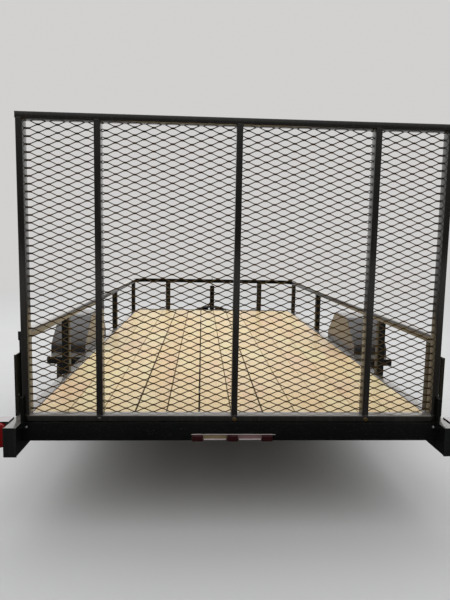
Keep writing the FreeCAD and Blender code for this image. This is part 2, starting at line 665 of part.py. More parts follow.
def leaf_spring():
    """Leaves bent to one centre: the long one on top ends in two eyes, the others get shorter."""
    sag = place.eye_z - (place.seat_z + dims.leaf_count * dims.leaf_thick)
    half = dims.spring_span / 2
    bend = (half ** 2 + sag ** 2) / (2 * sag)
    centre_z = place.seat_z + dims.leaf_count * dims.leaf_thick + bend
    x = place.spring_x - dims.spring_width / 2

    def at(radius, angle):
        return Vector(x, place.axle_y + radius * math.sin(angle), centre_z - radius * math.cos(angle))

    leaves = []
    for i in range(int(dims.leaf_count)):
        near, far = bend + i * dims.leaf_thick, bend + (i + 1) * dims.leaf_thick
        swing = math.asin(half / bend) * (1 - 0.2 * i)
        sides = [Part.Arc(at(near, -swing), at(near, 0), at(near, swing)).toShape(),
                 Part.makeLine(at(near, swing), at(far, swing)),
                 Part.Arc(at(far, swing), at(far, 0), at(far, -swing)).toShape(),
                 Part.makeLine(at(far, -swing), at(near, -swing))]
        leaves.append(Part.Face(Part.Wire(sides)).extrude(Vector(dims.spring_width, 0, 0)))
    eyes = [Part.makeCylinder(dims.eye_radius, dims.spring_width,
                              Vector(x, place.axle_y + side * half, place.eye_z), Vector(1, 0, 0))
            for side in (-1, 1)]
    pack = doc.addObject("Part::Feature", "leaf_spring_right")
    pack.Shape = leaves[0].fuse(leaves[1:] + eyes).removeSplitter()
    pair(pack)


def hangers():
    """A bent plate at each spring eye: a web under the side rail and two ears beside the spring."""
    made = []
    wide = "(dims.spring_width + 2 * dims.spring_fit)"
    low = "place.eye_z - dims.eye_radius - dims.hanger_rim"
    tall = "dims.hanger_drop + dims.eye_radius + dims.hanger_rim"
    reach = "dims.eye_radius + dims.hanger_rim"
    for i, side in enumerate("-+"):
        middle = f"place.axle_y {side} dims.spring_span / 2"
        block = box(f"hanger_{i}", f"place.spring_x - {wide} / 2 - dims.hanger_sheet",
                    f"{middle} - ({reach})", low, f"{wide} + 2 * dims.hanger_sheet",
                    f"2 * ({reach})", tall)
        slot = box(f"hanger_slot_{i}", f"place.spring_x - {wide} / 2", f"{middle} - ({reach}) - 1",
                   f"{low} - 1", wide, f"2 * ({reach}) + 2", f"{tall} - dims.hanger_sheet + 1")
        made.append(cut(f"hanger_ears_{i}", block, slot))
    node(both_sides("spring_hangers", *made))


# Wheels: tyre, steel rim and hub, each turned about the axle line


def on_axle(made):
    """Place a turned piece at the right wheel's centre."""
    return put(made, "place.wheel_x", "place.axle_y", "dims.tyre_radius")


def flipped(points):
    """The same outline on the other side of the middle."""
    return [(f"-({across})", up) for across, up in points]


def tyre():
    """A solid ring with upright sides and bevelled edges."""
    wide, tread, bead = "dims.tyre_width / 2", "dims.tyre_radius", "dims.bead_radius"
    side = "dims.rim_width / 2 - dims.rim_sheet - dims.tyre_fit"
    outside = (
        # distance from the wheel's middle plane, radius
        (side, bead), (side, f"{bead} + dims.bead_rise"), (wide, f"{bead} + dims.side_rise"),
        (wide, f"{tread} - dims.shoulder_rise"), (f"{wide} - dims.shoulder_side", tread))
    made = body("tyre_right")
    points = [*outside, *flipped(outside)[::-1]]
    turned(made, sketch(made, "tyre_profile", "XY_Plane", points))
    pair(on_axle(made))


def rim():
    """Barrel and disc from one sheet thickness, with a ring of windows in the disc."""
    half, wall = "dims.rim_width / 2", "dims.rim_sheet"
    outside, inside = "dims.bead_radius - dims.tyre_fit", f"dims.bead_radius - {wall}"
    points = (
        # distance from the wheel's middle plane, radius
        (f"-{half}", outside), (half, outside), (half, inside), (wall, inside), (wall, "dims.rim_bore"),
        ("0", "dims.rim_bore"), ("0", inside), (f"-{half}", inside))
    made = body("rim_right")
    turned(made, sketch(made, "rim_profile", "XY_Plane", points))
    window = [(f"dims.window_circle + dims.rim_window * cos({angle}deg)",
               f"dims.rim_window * sin({angle}deg)") for angle in range(0, 360, 45)]
    opening = pocket(made, sketch(made, "rim_window", "YZ_Plane", window), f"2 * {wall}")
    ring = made.newObject("PartDesign::PolarPattern", "rim_windows")
    ring.Originals = [opening]
    ring.Axis = (origin_feature(made, "X_Axis"), [""])
    ring.Angle = 360
    bind(ring, Occurrences="dims.rim_windows")
    made.Tip = ring
    pair(on_axle(made))


def hub():
    """Barrel on the spindle, the flange that carries the wheel disc, and the cap outside it."""
    back = "place.arm_out + dims.hub_gap - place.wheel_x"
    bore = "dims.spindle_radius + dims.spindle_fit"
    near, far = "-dims.hub_fit", "-dims.hub_fit - dims.hub_flange"
    floor = "dims.hub_nose - dims.hub_floor"
    points = (
        # distance from the wheel's middle plane, radius
        (back, bore), (back, "dims.hub_barrel"), (far, "dims.hub_barrel"), (far, "dims.hub_radius"),
        (near, "dims.hub_radius"), (near, "dims.hub_cap"), ("dims.hub_nose", "dims.hub_cap"),
        ("dims.hub_nose", "0"), (floor, "0"), (floor, bore))
    made = body("hub_right")
    turned(made, sketch(made, "hub_profile", "XY_Plane", points))
    pair(on_axle(made))


# Tongue: two channels in a V, the plate that carries the jack, and the ball coupler


def tongue():
    """Each channel is made too long, along its own slant, and trimmed square to the trailer at both ends."""
    slope, spare, wall = "dims.tongue_angle * 1deg", "dims.tongue_spare", "dims.channel_wall"
    run = f"(place.tip_y - place.cross_last) / cos({slope}) + 2 * {spare}"
    start_y = f"place.tip_y - ({run} - {spare}) * cos({slope})"
    start_x = f"dims.tongue_tip_half + ({run} - {spare}) * sin({slope})"
    outside = box("tongue_outside", start_x, start_y, "place.tongue_low", run,
                  "dims.tongue_flange", "dims.tongue_height")
    inside = box("tongue_inside", f"{start_x} - {wall} * cos({slope})",
                 f"{start_y} - {wall} * sin({slope})", f"place.tongue_low + {wall}", run,
                 "dims.tongue_flange", f"dims.tongue_height - 2 * {wall}")
    for piece in (outside, inside):
        piece.Placement.Rotation = Rotation(Vector(0, 0, 1), 90)
        bind(piece, Placement__Rotation__Angle="(90 + dims.tongue_angle) * 1deg")
    room = box("tongue_room", "0", "place.cross_last", "place.tongue_low - 1", "place.inner",
               "place.tip_y - place.cross_last", "dims.tongue_height + 2")
    pair(common("tongue_beam_right", cut("tongue_channel", outside, inside), room))


def tongue_half(back):
    """Half width over the beams, at a distance behind their front ends."""
    return f"dims.tongue_tip_half + ({back}) * tan(dims.tongue_angle * 1deg)"


def coupler():
    """Tapered top sheet over the beam ends, a neck, and a round head with the ball's socket in it."""
    sheet_top = body("coupler_sheet")
    neck, rear_end = "place.neck", "place.tip_y - dims.coupler_back"
    wide, taper = tongue_half("dims.coupler_back"), "place.tip_y + dims.coupler_taper"
    right = ((wide, rear_end), ("dims.tongue_tip_half", "place.tip_y"), (neck, taper), (neck, "place.ball_y"))
    outline = [*right, *flipped(right)[::-1]]
    pad(sheet_top, sketch(sheet_top, "coupler_outline", "XY_Plane", outline, "place.tongue_high"),
        "dims.coupler_plate")
    jack_hole = rod("jack_hole", "Z", "0", "place.jack_y", "place.tongue_high - 1",
                    "dims.jack_radius + dims.jack_hole_fit", "dims.coupler_plate + 2")
    cheeks = [box(f"coupler_cheek_{i}", x, "place.tip_y", "place.ball_z", "dims.coupler_plate",
                  "place.ball_y - place.tip_y", "place.tongue_high - place.ball_z")
              for i, x in enumerate((f"{neck} - dims.coupler_plate", f"-({neck})"))]
    mouth_z = "place.ball_z - dims.ball_radius"
    head = rod("coupler_head", "Z", "0", "place.ball_y", mouth_z, neck,
               f"place.tongue_high + dims.coupler_plate - ({mouth_z})")
    room = "dims.ball_radius + dims.ball_fit"
    socket = ball("ball_socket", "0", "place.ball_y", "place.ball_z", room)
    mouth = rod("ball_mouth", "Z", "0", "place.ball_y", f"{mouth_z} - 1", room, "dims.ball_radius + 1")
    solid = fuse("coupler_solid", cut("coupler_top", sheet_top, jack_hole), *cheeks, head)
    node(cut("coupler", solid, fuse("ball_room", socket, mouth)))

    high, size = "place.tongue_high + dims.coupler_plate", "dims.latch_size"
    pivot = box("latch_pivot", f"-{size} / 2", "place.ball_y - dims.latch_back", high, size,
                "dims.latch_long", size)
    lever = box("latch_lever", "-dims.lever_wide / 2", "place.ball_y - dims.lever_back",
                f"{high} + {size}", "dims.lever_wide", "dims.lever_long", "dims.lever_thick")
    node(fuse("coupler_latch", pivot, lever))


# Jack: outer tube through the coupler's sheet, sliding leg with its foot, and the crank on top


def jack():
    tall = "place.jack_high - place.jack_low"
    outside = rod("jack_outside", "Z", "0", "place.jack_y", "place.jack_low", "dims.jack_radius", tall)
    inside = rod("jack_inside", "Z", "0", "place.jack_y", "place.jack_low - 1",
                 "dims.jack_radius - dims.jack_wall", f"{tall} - dims.jack_wall + 1")
    flange = rod("jack_flange", "Z", "0", "place.jack_y", "place.tongue_high + dims.coupler_plate",
                 "dims.flange_radius", "dims.flange_thick")
    node(cut("jack_tube", fuse("jack_body", outside, flange), inside))

    leg = rod("leg", "Z", "0", "place.jack_y", "dims.foot_thick", "place.leg_radius",
              "place.jack_low + dims.jack_overlap - dims.foot_thick")
    half = "dims.foot_wide / 2"
    foot = box("foot", f"-{half}", f"place.jack_y - {half}", "0", "dims.foot_wide", "dims.foot_wide",
               "dims.foot_thick")
    node(fuse("jack_leg", leg, foot))

    bar, thick = "dims.crank_bar", "dims.crank_thick"
    low = "place.jack_high + dims.crank_lift"
    post = rod("crank_post", "Z", "0", "place.jack_y", "place.jack_high", f"{bar} / 2", "dims.crank_lift")
    arm = box("crank_arm", f"-{bar} / 2", f"place.jack_y - {bar} / 2", low, bar,
              f"dims.crank_arm + {bar}", thick)
    grip = rod("crank_grip", "Z", "0", "place.jack_y + dims.crank_arm", f"{low} + {thick}",
               f"{bar} / 2 - 1", f"dims.crank_up - dims.crank_lift - {thick}")
    node(fuse("jack_crank", post, arm, grip))


# Lamps at the rear


def lamps():
    face, low = "place.rear", "dims.deck_height + dims.lamp_up - dims.lamp_tall"
    shell = box("lamp_shell", "place.outer", face, low, "dims.lamp_wide", "dims.lamp_deep",
                "dims.lamp_tall")
    node(both_sides("lamp_shells", shell))
    lens = box("lamp_lens", "place.outer + dims.lens_side", f"{face} - dims.lens_deep",
               f"{low} + dims.lens_edge", "dims.lamp_wide - 2 * dims.lens_side", "dims.lens_deep",
               "dims.lamp_tall - 2 * dims.lens_edge")
    node(both_sides("lamp_lenses", lens))

    node(box("lamp_bar", "-dims.bar_wide / 2", f"{face} - dims.bar_thick", "place.end_low",
             "dims.bar_wide", "dims.bar_thick", "dims.bar_tall"))
    lamp_low = "place.end_low + (dims.bar_tall - dims.bar_lamp_tall) / 2"
    lenses = [box(f"bar_lamp_{i}", f"{i - 1} * dims.bar_pitch - dims.bar_lamp_wide / 2",
                  f"{face} - dims.bar_thick - dims.bar_lamp_deep", lamp_low,
                  "dims.bar_lamp_wide", "dims.bar_lamp_deep", "dims.bar_lamp_tall")
              for i in range(3)]
    node(group("bar_lamps", *lenses))


main_frame()
deck()
top_rail()
corner_plates()
gate()
gate_mesh()
fender()
step()
axle()
leaf_spring()
hangers()
tyre()
rim()
hub()
tongue()
coupler()
jack()
lamps()
doc.recompute()

# Check every object, then write each sub-part

faulty = [o.Name for o in doc.Objects if {"Invalid", "Error"} & set(o.State)]
if faulty:
    raise RuntimeError(f"objects failed: {faulty}")
os.makedirs("parts", exist_ok=True)
for made in NODES:
    if made.Shape.isNull() or not made.Shape.isValid() or not made.Shape.Solids:
        raise RuntimeError(f"{made.Name} has no valid solid")
    made.Shape.exportStep(f"parts/{made.Name}.step")
    box_of = made.Shape.BoundBox
    print(f"{made.Name}: {len(made.Shape.Solids)} solids, {made.Shape.Volume / 1e6:.3f} litres, "
          f"X {box_of.XMin:.0f} {box_of.XMax:.0f}, Y {box_of.YMin:.0f} {box_of.YMax:.0f}, "
          f"Z {box_of.ZMin:.0f} {box_of.ZMax:.0f}")
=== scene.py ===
"""Dresses the utility trailer: rounded tubes, expanded mesh, pine planks, tyres, lamps and fasteners.

Metres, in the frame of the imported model: X to the right, Y forward, Z up, the origin on the ground.
Every new piece is a surface of two parameters, worked out with numpy as whole arrays.
"""
import math

import bmesh
import bpy
import numpy as np
from mathutils import Matrix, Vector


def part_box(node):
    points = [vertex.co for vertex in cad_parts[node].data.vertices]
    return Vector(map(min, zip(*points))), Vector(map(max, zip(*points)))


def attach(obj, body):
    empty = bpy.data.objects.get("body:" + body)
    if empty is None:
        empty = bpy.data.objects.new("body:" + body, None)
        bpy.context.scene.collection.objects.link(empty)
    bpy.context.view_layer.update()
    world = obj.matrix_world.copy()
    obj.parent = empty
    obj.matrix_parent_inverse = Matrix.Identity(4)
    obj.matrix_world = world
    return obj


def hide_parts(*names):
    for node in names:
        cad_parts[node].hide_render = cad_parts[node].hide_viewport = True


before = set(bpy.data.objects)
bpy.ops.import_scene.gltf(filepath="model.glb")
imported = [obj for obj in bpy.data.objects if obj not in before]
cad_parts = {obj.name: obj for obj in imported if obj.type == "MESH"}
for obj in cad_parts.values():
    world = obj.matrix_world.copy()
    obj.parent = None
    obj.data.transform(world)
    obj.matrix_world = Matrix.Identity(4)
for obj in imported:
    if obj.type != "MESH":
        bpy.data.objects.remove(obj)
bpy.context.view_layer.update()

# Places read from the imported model, and directions


def box(name):
    return np.array(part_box(name))


def low(name):
    return box(name)[0]


def high(name):
    return box(name)[1]


def middle(name):
    return box(name).mean(0)


DECK = high("deck_planks")[2]
OUTER = high("side_rail_right")[0]
REAR = low("crossmember_rear")[1]
AXLE = middle("tyre_right")
POST_TOP = high("posts_right")[2]

ALONG_X, ALONG_Y, ALONG_Z = 0, 1, 2
RIGHT, FORWARD, BACKWARD, UP = (1, 0, 0), (0, 1, 0), (0, -1, 0), (0, 0, 1)

# Shader nodes


def put(tree, value, socket):
    """Links another node's output to the socket, or sets its value; a colour is given by three numbers."""
    if isinstance(value, bpy.types.NodeSocket):
        tree.links.new(value, socket)
    else:
        socket.default_value = (*value, 1) if socket.type == "RGBA" else value


def add_node(tree, kind, settings=None, **sockets):
    """A new shader node with its sockets filled. A socket goes by its name, with _ for a space, or by its
    number, as in i0."""
    made = tree.nodes.new("ShaderNode" + kind)
    for name, value in (settings or {}).items():
        setattr(made, name, value)
    for label, value in sockets.items():
        numbered = label[0] == "i" and label[1:].isdigit()
        put(tree, value, made.inputs[int(label[1:]) if numbered else label.replace("_", " ")])
    return made


def maths(tree, operation, a, b=0.0, clamp=False):
    return add_node(tree, "Math", {"operation": operation, "use_clamp": clamp}, i0=a, i1=b).outputs[0]


def plus(tree, a, b):
    return maths(tree, "ADD", a, b)


def minus(tree, a, b):
    return maths(tree, "SUBTRACT", a, b)


def times(tree, a, b, clamp=False):
    return maths(tree, "MULTIPLY", a, b, clamp)


def band(tree, value, start, end):
    """0 below start, 1 above end, smooth between."""
    return add_node(tree, "MapRange", {"interpolation_type": "SMOOTHSTEP"}, Value=value,
                    From_Min=start, From_Max=end).outputs[0]


def mix_colour(tree, share, a, b):
    """Colour a where share is 0, colour b where it is 1."""
    return add_node(tree, "Mix", {"data_type": "RGBA", "clamp_factor": True},
                    i0=share, i6=a, i7=b).outputs[2]


def stained(tree, colour, *stains):
    """A colour under stains laid on in turn: each has a mask, the most that it covers and its colour."""
    for mask, most, stain in stains:
        colour = mix_colour(tree, times(tree, mask, most), colour, stain)
    return colour


def noise(tree, place, size, detail=4.0, rough=0.55, distortion=0.0):
    """Noise with blobs about size metres across, where size may be another node's output."""
    linked = isinstance(size, bpy.types.NodeSocket)
    scale = maths(tree, "DIVIDE", 1.0, size) if linked else 1.0 / size
    return add_node(tree, "TexNoise", Vector=place, Scale=scale, Detail=detail, Roughness=rough,
                    Distortion=distortion).outputs[0]


def stretched(tree, place, x, y, z):
    return add_node(tree, "VectorMath", {"operation": "MULTIPLY"}, i0=place, i1=(x, y, z)).outputs[0]


def own_place(tree):
    return add_node(tree, "TexCoord").outputs["Object"]


def height_of(tree, vector):
    return add_node(tree, "SeparateXYZ", Vector=vector).outputs["Z"]


def attribute(tree, name):
    return add_node(tree, "Attribute", {"attribute_name": name}).outputs["Fac"]


def bump(tree, height, distance, strength):
    """Small relief, about distance metres deep."""
    return add_node(tree, "Bump", Strength=strength, Distance=distance, Height=height).outputs[0]


# Node groups that more than one material shares, and the pine


def start_group(name, **inputs):
    """An empty node group whose inputs are numbers, each with its usual value."""
    group = bpy.data.node_groups.new(name, "ShaderNodeTree")
    for label, value in inputs.items():
        spaced = label.replace("_", " ")
        socket = group.interface.new_socket(spaced, in_out="INPUT", socket_type="NodeSocketFloat")
        socket.default_value = value
    return group, group.nodes.new("NodeGroupInput").outputs


def end_group(group, **outputs):
    """Gives the group its outputs: Colour is a colour, the others are numbers."""
    for label in outputs:
        kind = "NodeSocketColor" if label == "Colour" else "NodeSocketFloat"
        group.interface.new_socket(label, in_out="OUTPUT", socket_type=kind)
    last = group.nodes.new("NodeGroupOutput")
    for label, value in outputs.items():
        group.links.new(value, last.inputs[label])
    return group


def weather_group():
    """Blotches, fine specks, runs of water down upright faces, fine grit, and how far a face looks up."""
    group, given = start_group("weather", Blotch_size=0.25, Speck_size=0.006)
    spot = add_node(group, "TexCoord").outputs
    place = spot["Object"]
    blotches = noise(group, place, given["Blotch size"], 5.0, 0.6)
    specks = noise(group, place, given["Speck size"], 2.0)
    runs = noise(group, stretched(group, place, 1.0, 1.0, 0.06), 0.012, 3.0, 0.6)
    facing = height_of(group, spot["Normal"])
    return end_group(group, Blotches=band(group, blotches, 0.42, 0.62), Specks=band(group, specks, 0.6, 0.7),
                     Runs=band(group, runs, 0.5, 0.68), Upward=band(group, facing, 0.35, 0.9),
                     Grit=noise(group, place, 0.0015, 2.0))


def rust_group():
    """The share of rust, where noise breaks through, and the rust's own mottled colour."""
    group, given = start_group("rust", Cover=0.1)
    place = own_place(group)
    patches = noise(group, place, 0.045, 8.0, 0.68)
    edge = minus(group, 0.78, times(group, given["Cover"], 0.5))
    share = times(group, minus(group, patches, edge), 14.0, clamp=True)
    shade = band(group, noise(group, place, 0.004, 4.0, 0.7), 0.35, 0.65)
    dark, orange = (0.06, 0.024, 0.009), (0.19, 0.085, 0.03)
    return end_group(group, Share=share, Colour=mix_colour(group, shade, dark, orange))


def pine_group():
    """Pine boards: long grain, arched growth rings, knots with a dark heart, and each board's own tint."""
    group, given = start_group("pine", Board=0.0)
    board = given["Board"]
    shift = add_node(group, "CombineXYZ", X=times(group, board, 3.7), Y=times(group, board, 11.3),
                     Z=times(group, board, 5.1)).outputs[0]
    place = add_node(group, "VectorMath", {"operation": "ADD"}, i0=own_place(group), i1=shift).outputs[0]
    grain = noise(group, stretched(group, place, 1.0, 0.035, 1.0), 0.0045, 6.0, 0.62, 0.4)
    wander = noise(group, stretched(group, place, 1.0, 0.22, 1.0), 0.11, 2.0, 0.5)
    rings = band(group, maths(group, "SINE", times(group, wander, 165.0)), -0.4, 1.0)
    cells = add_node(group, "TexVoronoi", Vector=stretched(group, place, 1.0, 0.62, 1.0), Scale=4.6)
    knots = minus(group, 1.0, band(group, cells.outputs["Distance"], 0.03, 0.075))
    broad = noise(group, stretched(group, place, 1.0, 0.35, 1.0), 0.3, 4.0, 0.6)
    tint = add_node(group, "TexWhiteNoise", {"noise_dimensions": "1D"}, W=board).outputs[0]
    warm = mix_colour(group, tint, (0.605, 0.438, 0.228), (0.65, 0.512, 0.284))
    colour = stained(group, warm, (rings, 0.3, (0.46, 0.29, 0.14)),
                     (band(group, grain, 0.5, 0.72), 0.3, (0.4, 0.25, 0.12)),
                     (band(group, broad, 0.52, 0.66), 0.4, (0.56, 0.33, 0.215)),
                     (minus(group, 1.0, band(group, broad, 0.36, 0.47)), 0.45, (0.6, 0.56, 0.31)),
                     (knots, 0.8, (0.17, 0.075, 0.03)))
    return end_group(group, Colour=colour, Height=plus(group, grain, rings))


GROUPS = {"weather": weather_group(), "rust": rust_group(), "pine": pine_group()}


def use_group(tree, name, **values):
    return add_node(tree, "Group", {"node_tree": GROUPS[name]}, **values).outputs


# Materials


def start_material(name):
    made = bpy.data.materials.new(name)
    made.use_nodes = True
    return made, made.node_tree, made.node_tree.nodes["Principled BSDF"]


def fill(tree, shader, **sockets):
    """Links or sets the shader's own sockets."""
    for label, value in sockets.items():
        put(tree, value, shader.inputs[label.replace("_", " ")])


FADE = 0.15


def paint(name, colour, rough, rust=0.0, dust=0.55, dust_colour=(0.24, 0.222, 0.2), wet=1.0, shine=0.1,
          gloss=0.0, grain=0.0003, film_index=1.7, dull_below=None):
    """Sprayed paint: an even coat with a slight blotch, dust under a film of water on faces that look up,
    faint runs on upright ones and a little rust. wet is the film's share on faces that look up, and gloss its
    share on the rest. The film fades out just below the height dull_below."""
    made, tree, shader = start_material(name)
    weather = use_group(tree, "weather", Blotch_size=0.35, Speck_size=0.007)
    lighter = tuple(c * 1.5 + 0.001 for c in colour)
    settled = plus(tree, 0.82, times(tree, weather["Blotches"], 0.18))
    settled = times(tree, times(tree, weather["Upward"], settled), dust)
    settled = plus(tree, settled, times(tree, weather["Runs"], dust * 0.05))
    shade = mix_colour(tree, times(tree, weather["Blotches"], 0.6), colour, lighter)
    shade = mix_colour(tree, settled, shade, dust_colour)
    shade = stained(tree, shade, (weather["Specks"], 0.05, (0.3, 0.28, 0.25)))
    rusted = use_group(tree, "rust", Cover=rust)
    shade = mix_colour(tree, rusted["Share"], shade, rusted["Colour"])
    level = plus(tree, rough, times(tree, rusted["Share"], 0.5))
    film = plus(tree, gloss, times(tree, weather["Upward"], wet - gloss))
    if dull_below:
        film = times(tree, film, band(tree, height_of(tree, own_place(tree)), dull_below - FADE, dull_below))
    relief = plus(tree, weather["Grit"], times(tree, weather["Specks"], 0.6))
    fill(tree, shader, Base_Color=shade, Specular_IOR_Level=shine,
         Roughness=plus(tree, level, times(tree, weather["Grit"], 0.12)),
         Coat_IOR=film_index, Coat_Roughness=0.12,
         Coat_Weight=times(tree, minus(tree, 1.0, rusted["Share"]), film),
         Normal=bump(tree, relief, grain, 0.3))
    return made


def zinc_finish():
    """Zinc-plated steel with dull patches, fine grit and specks of rust."""
    made, tree, shader = start_material("zinc_steel")
    weather = use_group(tree, "weather", Blotch_size=0.03, Speck_size=0.004)
    rusted = use_group(tree, "rust", Cover=0.1)
    zinc = mix_colour(tree, weather["Blotches"], (0.62, 0.62, 0.6), (0.372, 0.372, 0.36))
    fill(tree, shader, Base_Color=mix_colour(tree, rusted["Share"], zinc, rusted["Colour"]),
         Metallic=minus(tree, 0.95, times(tree, rusted["Share"], 0.9)),
         Roughness=plus(tree, 0.3, times(tree, weather["Blotches"], 0.25)),
         Normal=bump(tree, weather["Grit"], 0.0003, 0.3))
    return made


def planks_finish():
    """Wet pine: the pine pattern, faint brown blotches and specks, dark edges, and a thin film of water."""
    made, tree, shader = start_material("pine_planks")
    pine = use_group(tree, "pine", Board=attribute(tree, "board"))
    weather = use_group(tree, "weather", Blotch_size=0.5, Speck_size=0.012)
    colour = stained(tree, pine["Colour"], (weather["Blotches"], 0.1, (0.46, 0.4, 0.27)),
                     (weather["Specks"], 0.2, (0.24, 0.16, 0.09)),
                     (attribute(tree, "edge"), 0.8, (0.055, 0.033, 0.018)))
    fill(tree, shader, Base_Color=colour, Specular_IOR_Level=0.2,
         Roughness=plus(tree, 0.36, times(tree, weather["Grit"], 0.3)),
         Coat_IOR=1.33, Coat_Roughness=0.22,
         Coat_Weight=plus(tree, 0.12, times(tree, weather["Blotches"], 0.25)),
         Normal=bump(tree, pine["Height"], 0.001, 0.35))
    return made


def rubber_finish():
    """Black rubber with grey blotches, and dirt in the grooves of the tread."""
    made, tree, shader = start_material("tyre_rubber")
    weather = use_group(tree, "weather", Blotch_size=0.09, Speck_size=0.005)
    rubber = mix_colour(tree, weather["Blotches"], (0.016, 0.016, 0.016), (0.032, 0.031, 0.029))
    dirt = plus(tree, times(tree, attribute(tree, "groove"), 0.5), times(tree, weather["Specks"], 0.3))
    fill(tree, shader, Base_Color=mix_colour(tree, dirt, rubber, (0.1, 0.088, 0.07)),
         Roughness=plus(tree, 0.62, times(tree, weather["Blotches"], 0.2)),
         Normal=bump(tree, weather["Grit"], 0.0006, 0.5))
    return made


def lens_finish(name, deep, bright):
    """Red lamp plastic, with the small squares of a reflector moulded behind its face; each square's middle
    is painted a brighter red, a painted glint.
    """
    made, tree, shader = start_material(name)
    aslant = add_node(tree, "VectorRotate", {"rotation_type": "Y_AXIS"}, Vector=own_place(tree),
                      Angle=math.radians(45)).outputs[0]
    squares = add_node(tree, "TexVoronoi", {"distance": "CHEBYCHEV"},
                       Vector=stretched(tree, aslant, 1.0, 0.0, 1.0), Scale=190.0, Randomness=0.0)
    facet_relief_and_glint = squares.outputs["Distance"]
    weather = use_group(tree, "weather", Blotch_size=0.05, Speck_size=0.004)
    # Painted glint: the bright red at each reflector square's middle, the deep red at its rim.
    colour = mix_colour(tree, band(tree, facet_relief_and_glint, 0.1, 0.6), bright, deep)
    colour = stained(tree, colour, (weather["Specks"], 0.25, (0.12, 0.09, 0.07)))
    fill(tree, shader, Base_Color=colour, Specular_IOR_Level=0.15,
         Roughness=plus(tree, 0.1, times(tree, weather["Grit"], 0.12)),
         Coat_Weight=0.1, Coat_Roughness=0.05,
         Normal=bump(tree, facet_relief_and_glint, 0.0012, 0.35))
    return made


BLACK = paint("black_paint", (0.0032, 0.0042, 0.0033), 0.36, rust=0.02, gloss=0.2)
RAIL_BLACK = paint("top_rail_paint", (0.0045, 0.0045, 0.0035), 0.36, rust=0.02, gloss=0.8, film_index=1.6)
# Painted shade: a darker copy of the black paint for the crossmembers and the gate hinges, low parts tucked
# under the gate's foot and the deck. Its scant dust and missing wet film are shelter from dust and rain.
SHADED_BEAM_BLACK = paint("shaded_beam_paint", (0.0018, 0.0026, 0.0018), 0.45, rust=0.02, dust=0.04, wet=0.0)
FRAME_BLACK = paint("frame_paint", (0.0038, 0.0028, 0.0014), 0.42, rust=0.03, dust=0.6,
                    dust_colour=(0.26, 0.232, 0.2), gloss=0.75, film_index=1.5)
FRONT_BLACK = paint("front_rail_paint", (0.005, 0.0052, 0.0042), 0.55, rust=0.02, dust=0.15, wet=0.0,
                    shine=0.0)
MESH_PAINT = paint("mesh_paint", (0.055, 0.031, 0.009), 0.55, rust=0.1, dust=0.1, wet=0.1, shine=0.05)
FENDER_PAINT = paint("fender_paint", (0.012, 0.0115, 0.0125), 0.42, dust=0.12, wet=0.6, shine=0.3,
                     gloss=0.45, dull_below=0.66)
BACK_PAINT = paint("fender_back_paint", (0.022, 0.019, 0.019), 0.42, dust=0.12, shine=0.3, gloss=0.7)
RIM_PAINT = paint("rim_paint", (0.46, 0.47, 0.47), 0.34, rust=0.08, dust=0.3, shine=0.5, wet=0.3)
LAMP_BLACK = paint("lamp_black", (0.01, 0.01, 0.011), 0.5, dust=0.8, dust_colour=(0.45, 0.4, 0.41),
                   grain=0.0006)
HUB_IRON = paint("hub_iron", (0.035, 0.031, 0.028), 0.6, rust=0.55, dust=0.35, wet=0.0, grain=0.001)
# Painted reflection: the amber-brown tint of the lamp bar's bright steel plate, left of its middle.
AMBER_REFLECTION_PLATE = paint("amber_reflection_plate", (0.17, 0.13, 0.06), 0.4, rust=0.05, dust=0.6,
              dust_colour=(0.5, 0.44, 0.44), wet=0.3, shine=0.5)
# Painted reflection: the rosy tint of the lamp bar plate's right half.
ROSY_REFLECTION_PLATE = paint("rosy_reflection_plate", (0.19, 0.105, 0.1), 0.4, rust=0.05, dust_colour=(0.4, 0.36, 0.36),
                   wet=0.3, shine=0.5)
# Painted highlight: the pale paint of the strips along the lamp bar's edges.
HIGHLIGHT_LIP = paint("highlight_lip", (0.4, 0.33, 0.33), 0.35, rust=0.02, dust=0.6,
            dust_colour=(0.3, 0.27, 0.26), wet=0.3, shine=0.5)
ZINC = zinc_finish()
RUSTED = paint("rusted_weld", (0.06, 0.036, 0.009), 0.75, rust=0.3, dust=0.2, wet=0.0, grain=0.001)
DULL_STEEL = paint("dull_weld", (0.09, 0.088, 0.082), 0.5, rust=0.1, dust=0.3, wet=0.2)
PLANKS = planks_finish()
RUBBER = rubber_finish()
# The second colour of each lens is its painted glint, at the middle of each reflector square.
RED_LENS = lens_finish("red_lens", (0.08, 0.0006, 0.0006), (0.3, 0.003, 0.002))
DARK_LENS = lens_finish("dark_red_lens", (0.01, 0.0006, 0.0008), (0.036, 0.001, 0.003))

# Surfaces of two parameters


def surface(points, around=True, along=False):
    """Corners and quads of one grid of shape rows, columns, 3, joined up across its columns where around is
    set and across its rows where along is."""
    rows, columns = points.shape[:2]
    i, j = np.meshgrid(np.arange(rows if along else rows - 1), np.arange(columns if around else columns - 1),
                       indexing="ij")
    k, m = (i + 1) % rows, (j + 1) % columns
    quads = np.stack([i * columns + j, i * columns + m, k * columns + m, k * columns + j], -1)
    return points.reshape(-1, 3), quads.reshape(-1, 4)


def joined(*parts):
    """Several corner and quad arrays as one pair."""
    starts = np.cumsum([0] + [len(points) for points, _ in parts[:-1]])
    return (np.concatenate([points for points, _ in parts]),
            np.concatenate([faces + start for (_, faces), start in zip(parts, starts)]))


def mirrored(part):
    points, faces = part
    return points * (-1, 1, 1), faces


def both(part):
    return joined(part, mirrored(part))


def add_object(name, data):
    added = bpy.data.objects.new(name, data)
    bpy.context.scene.collection.objects.link(added)
    return added


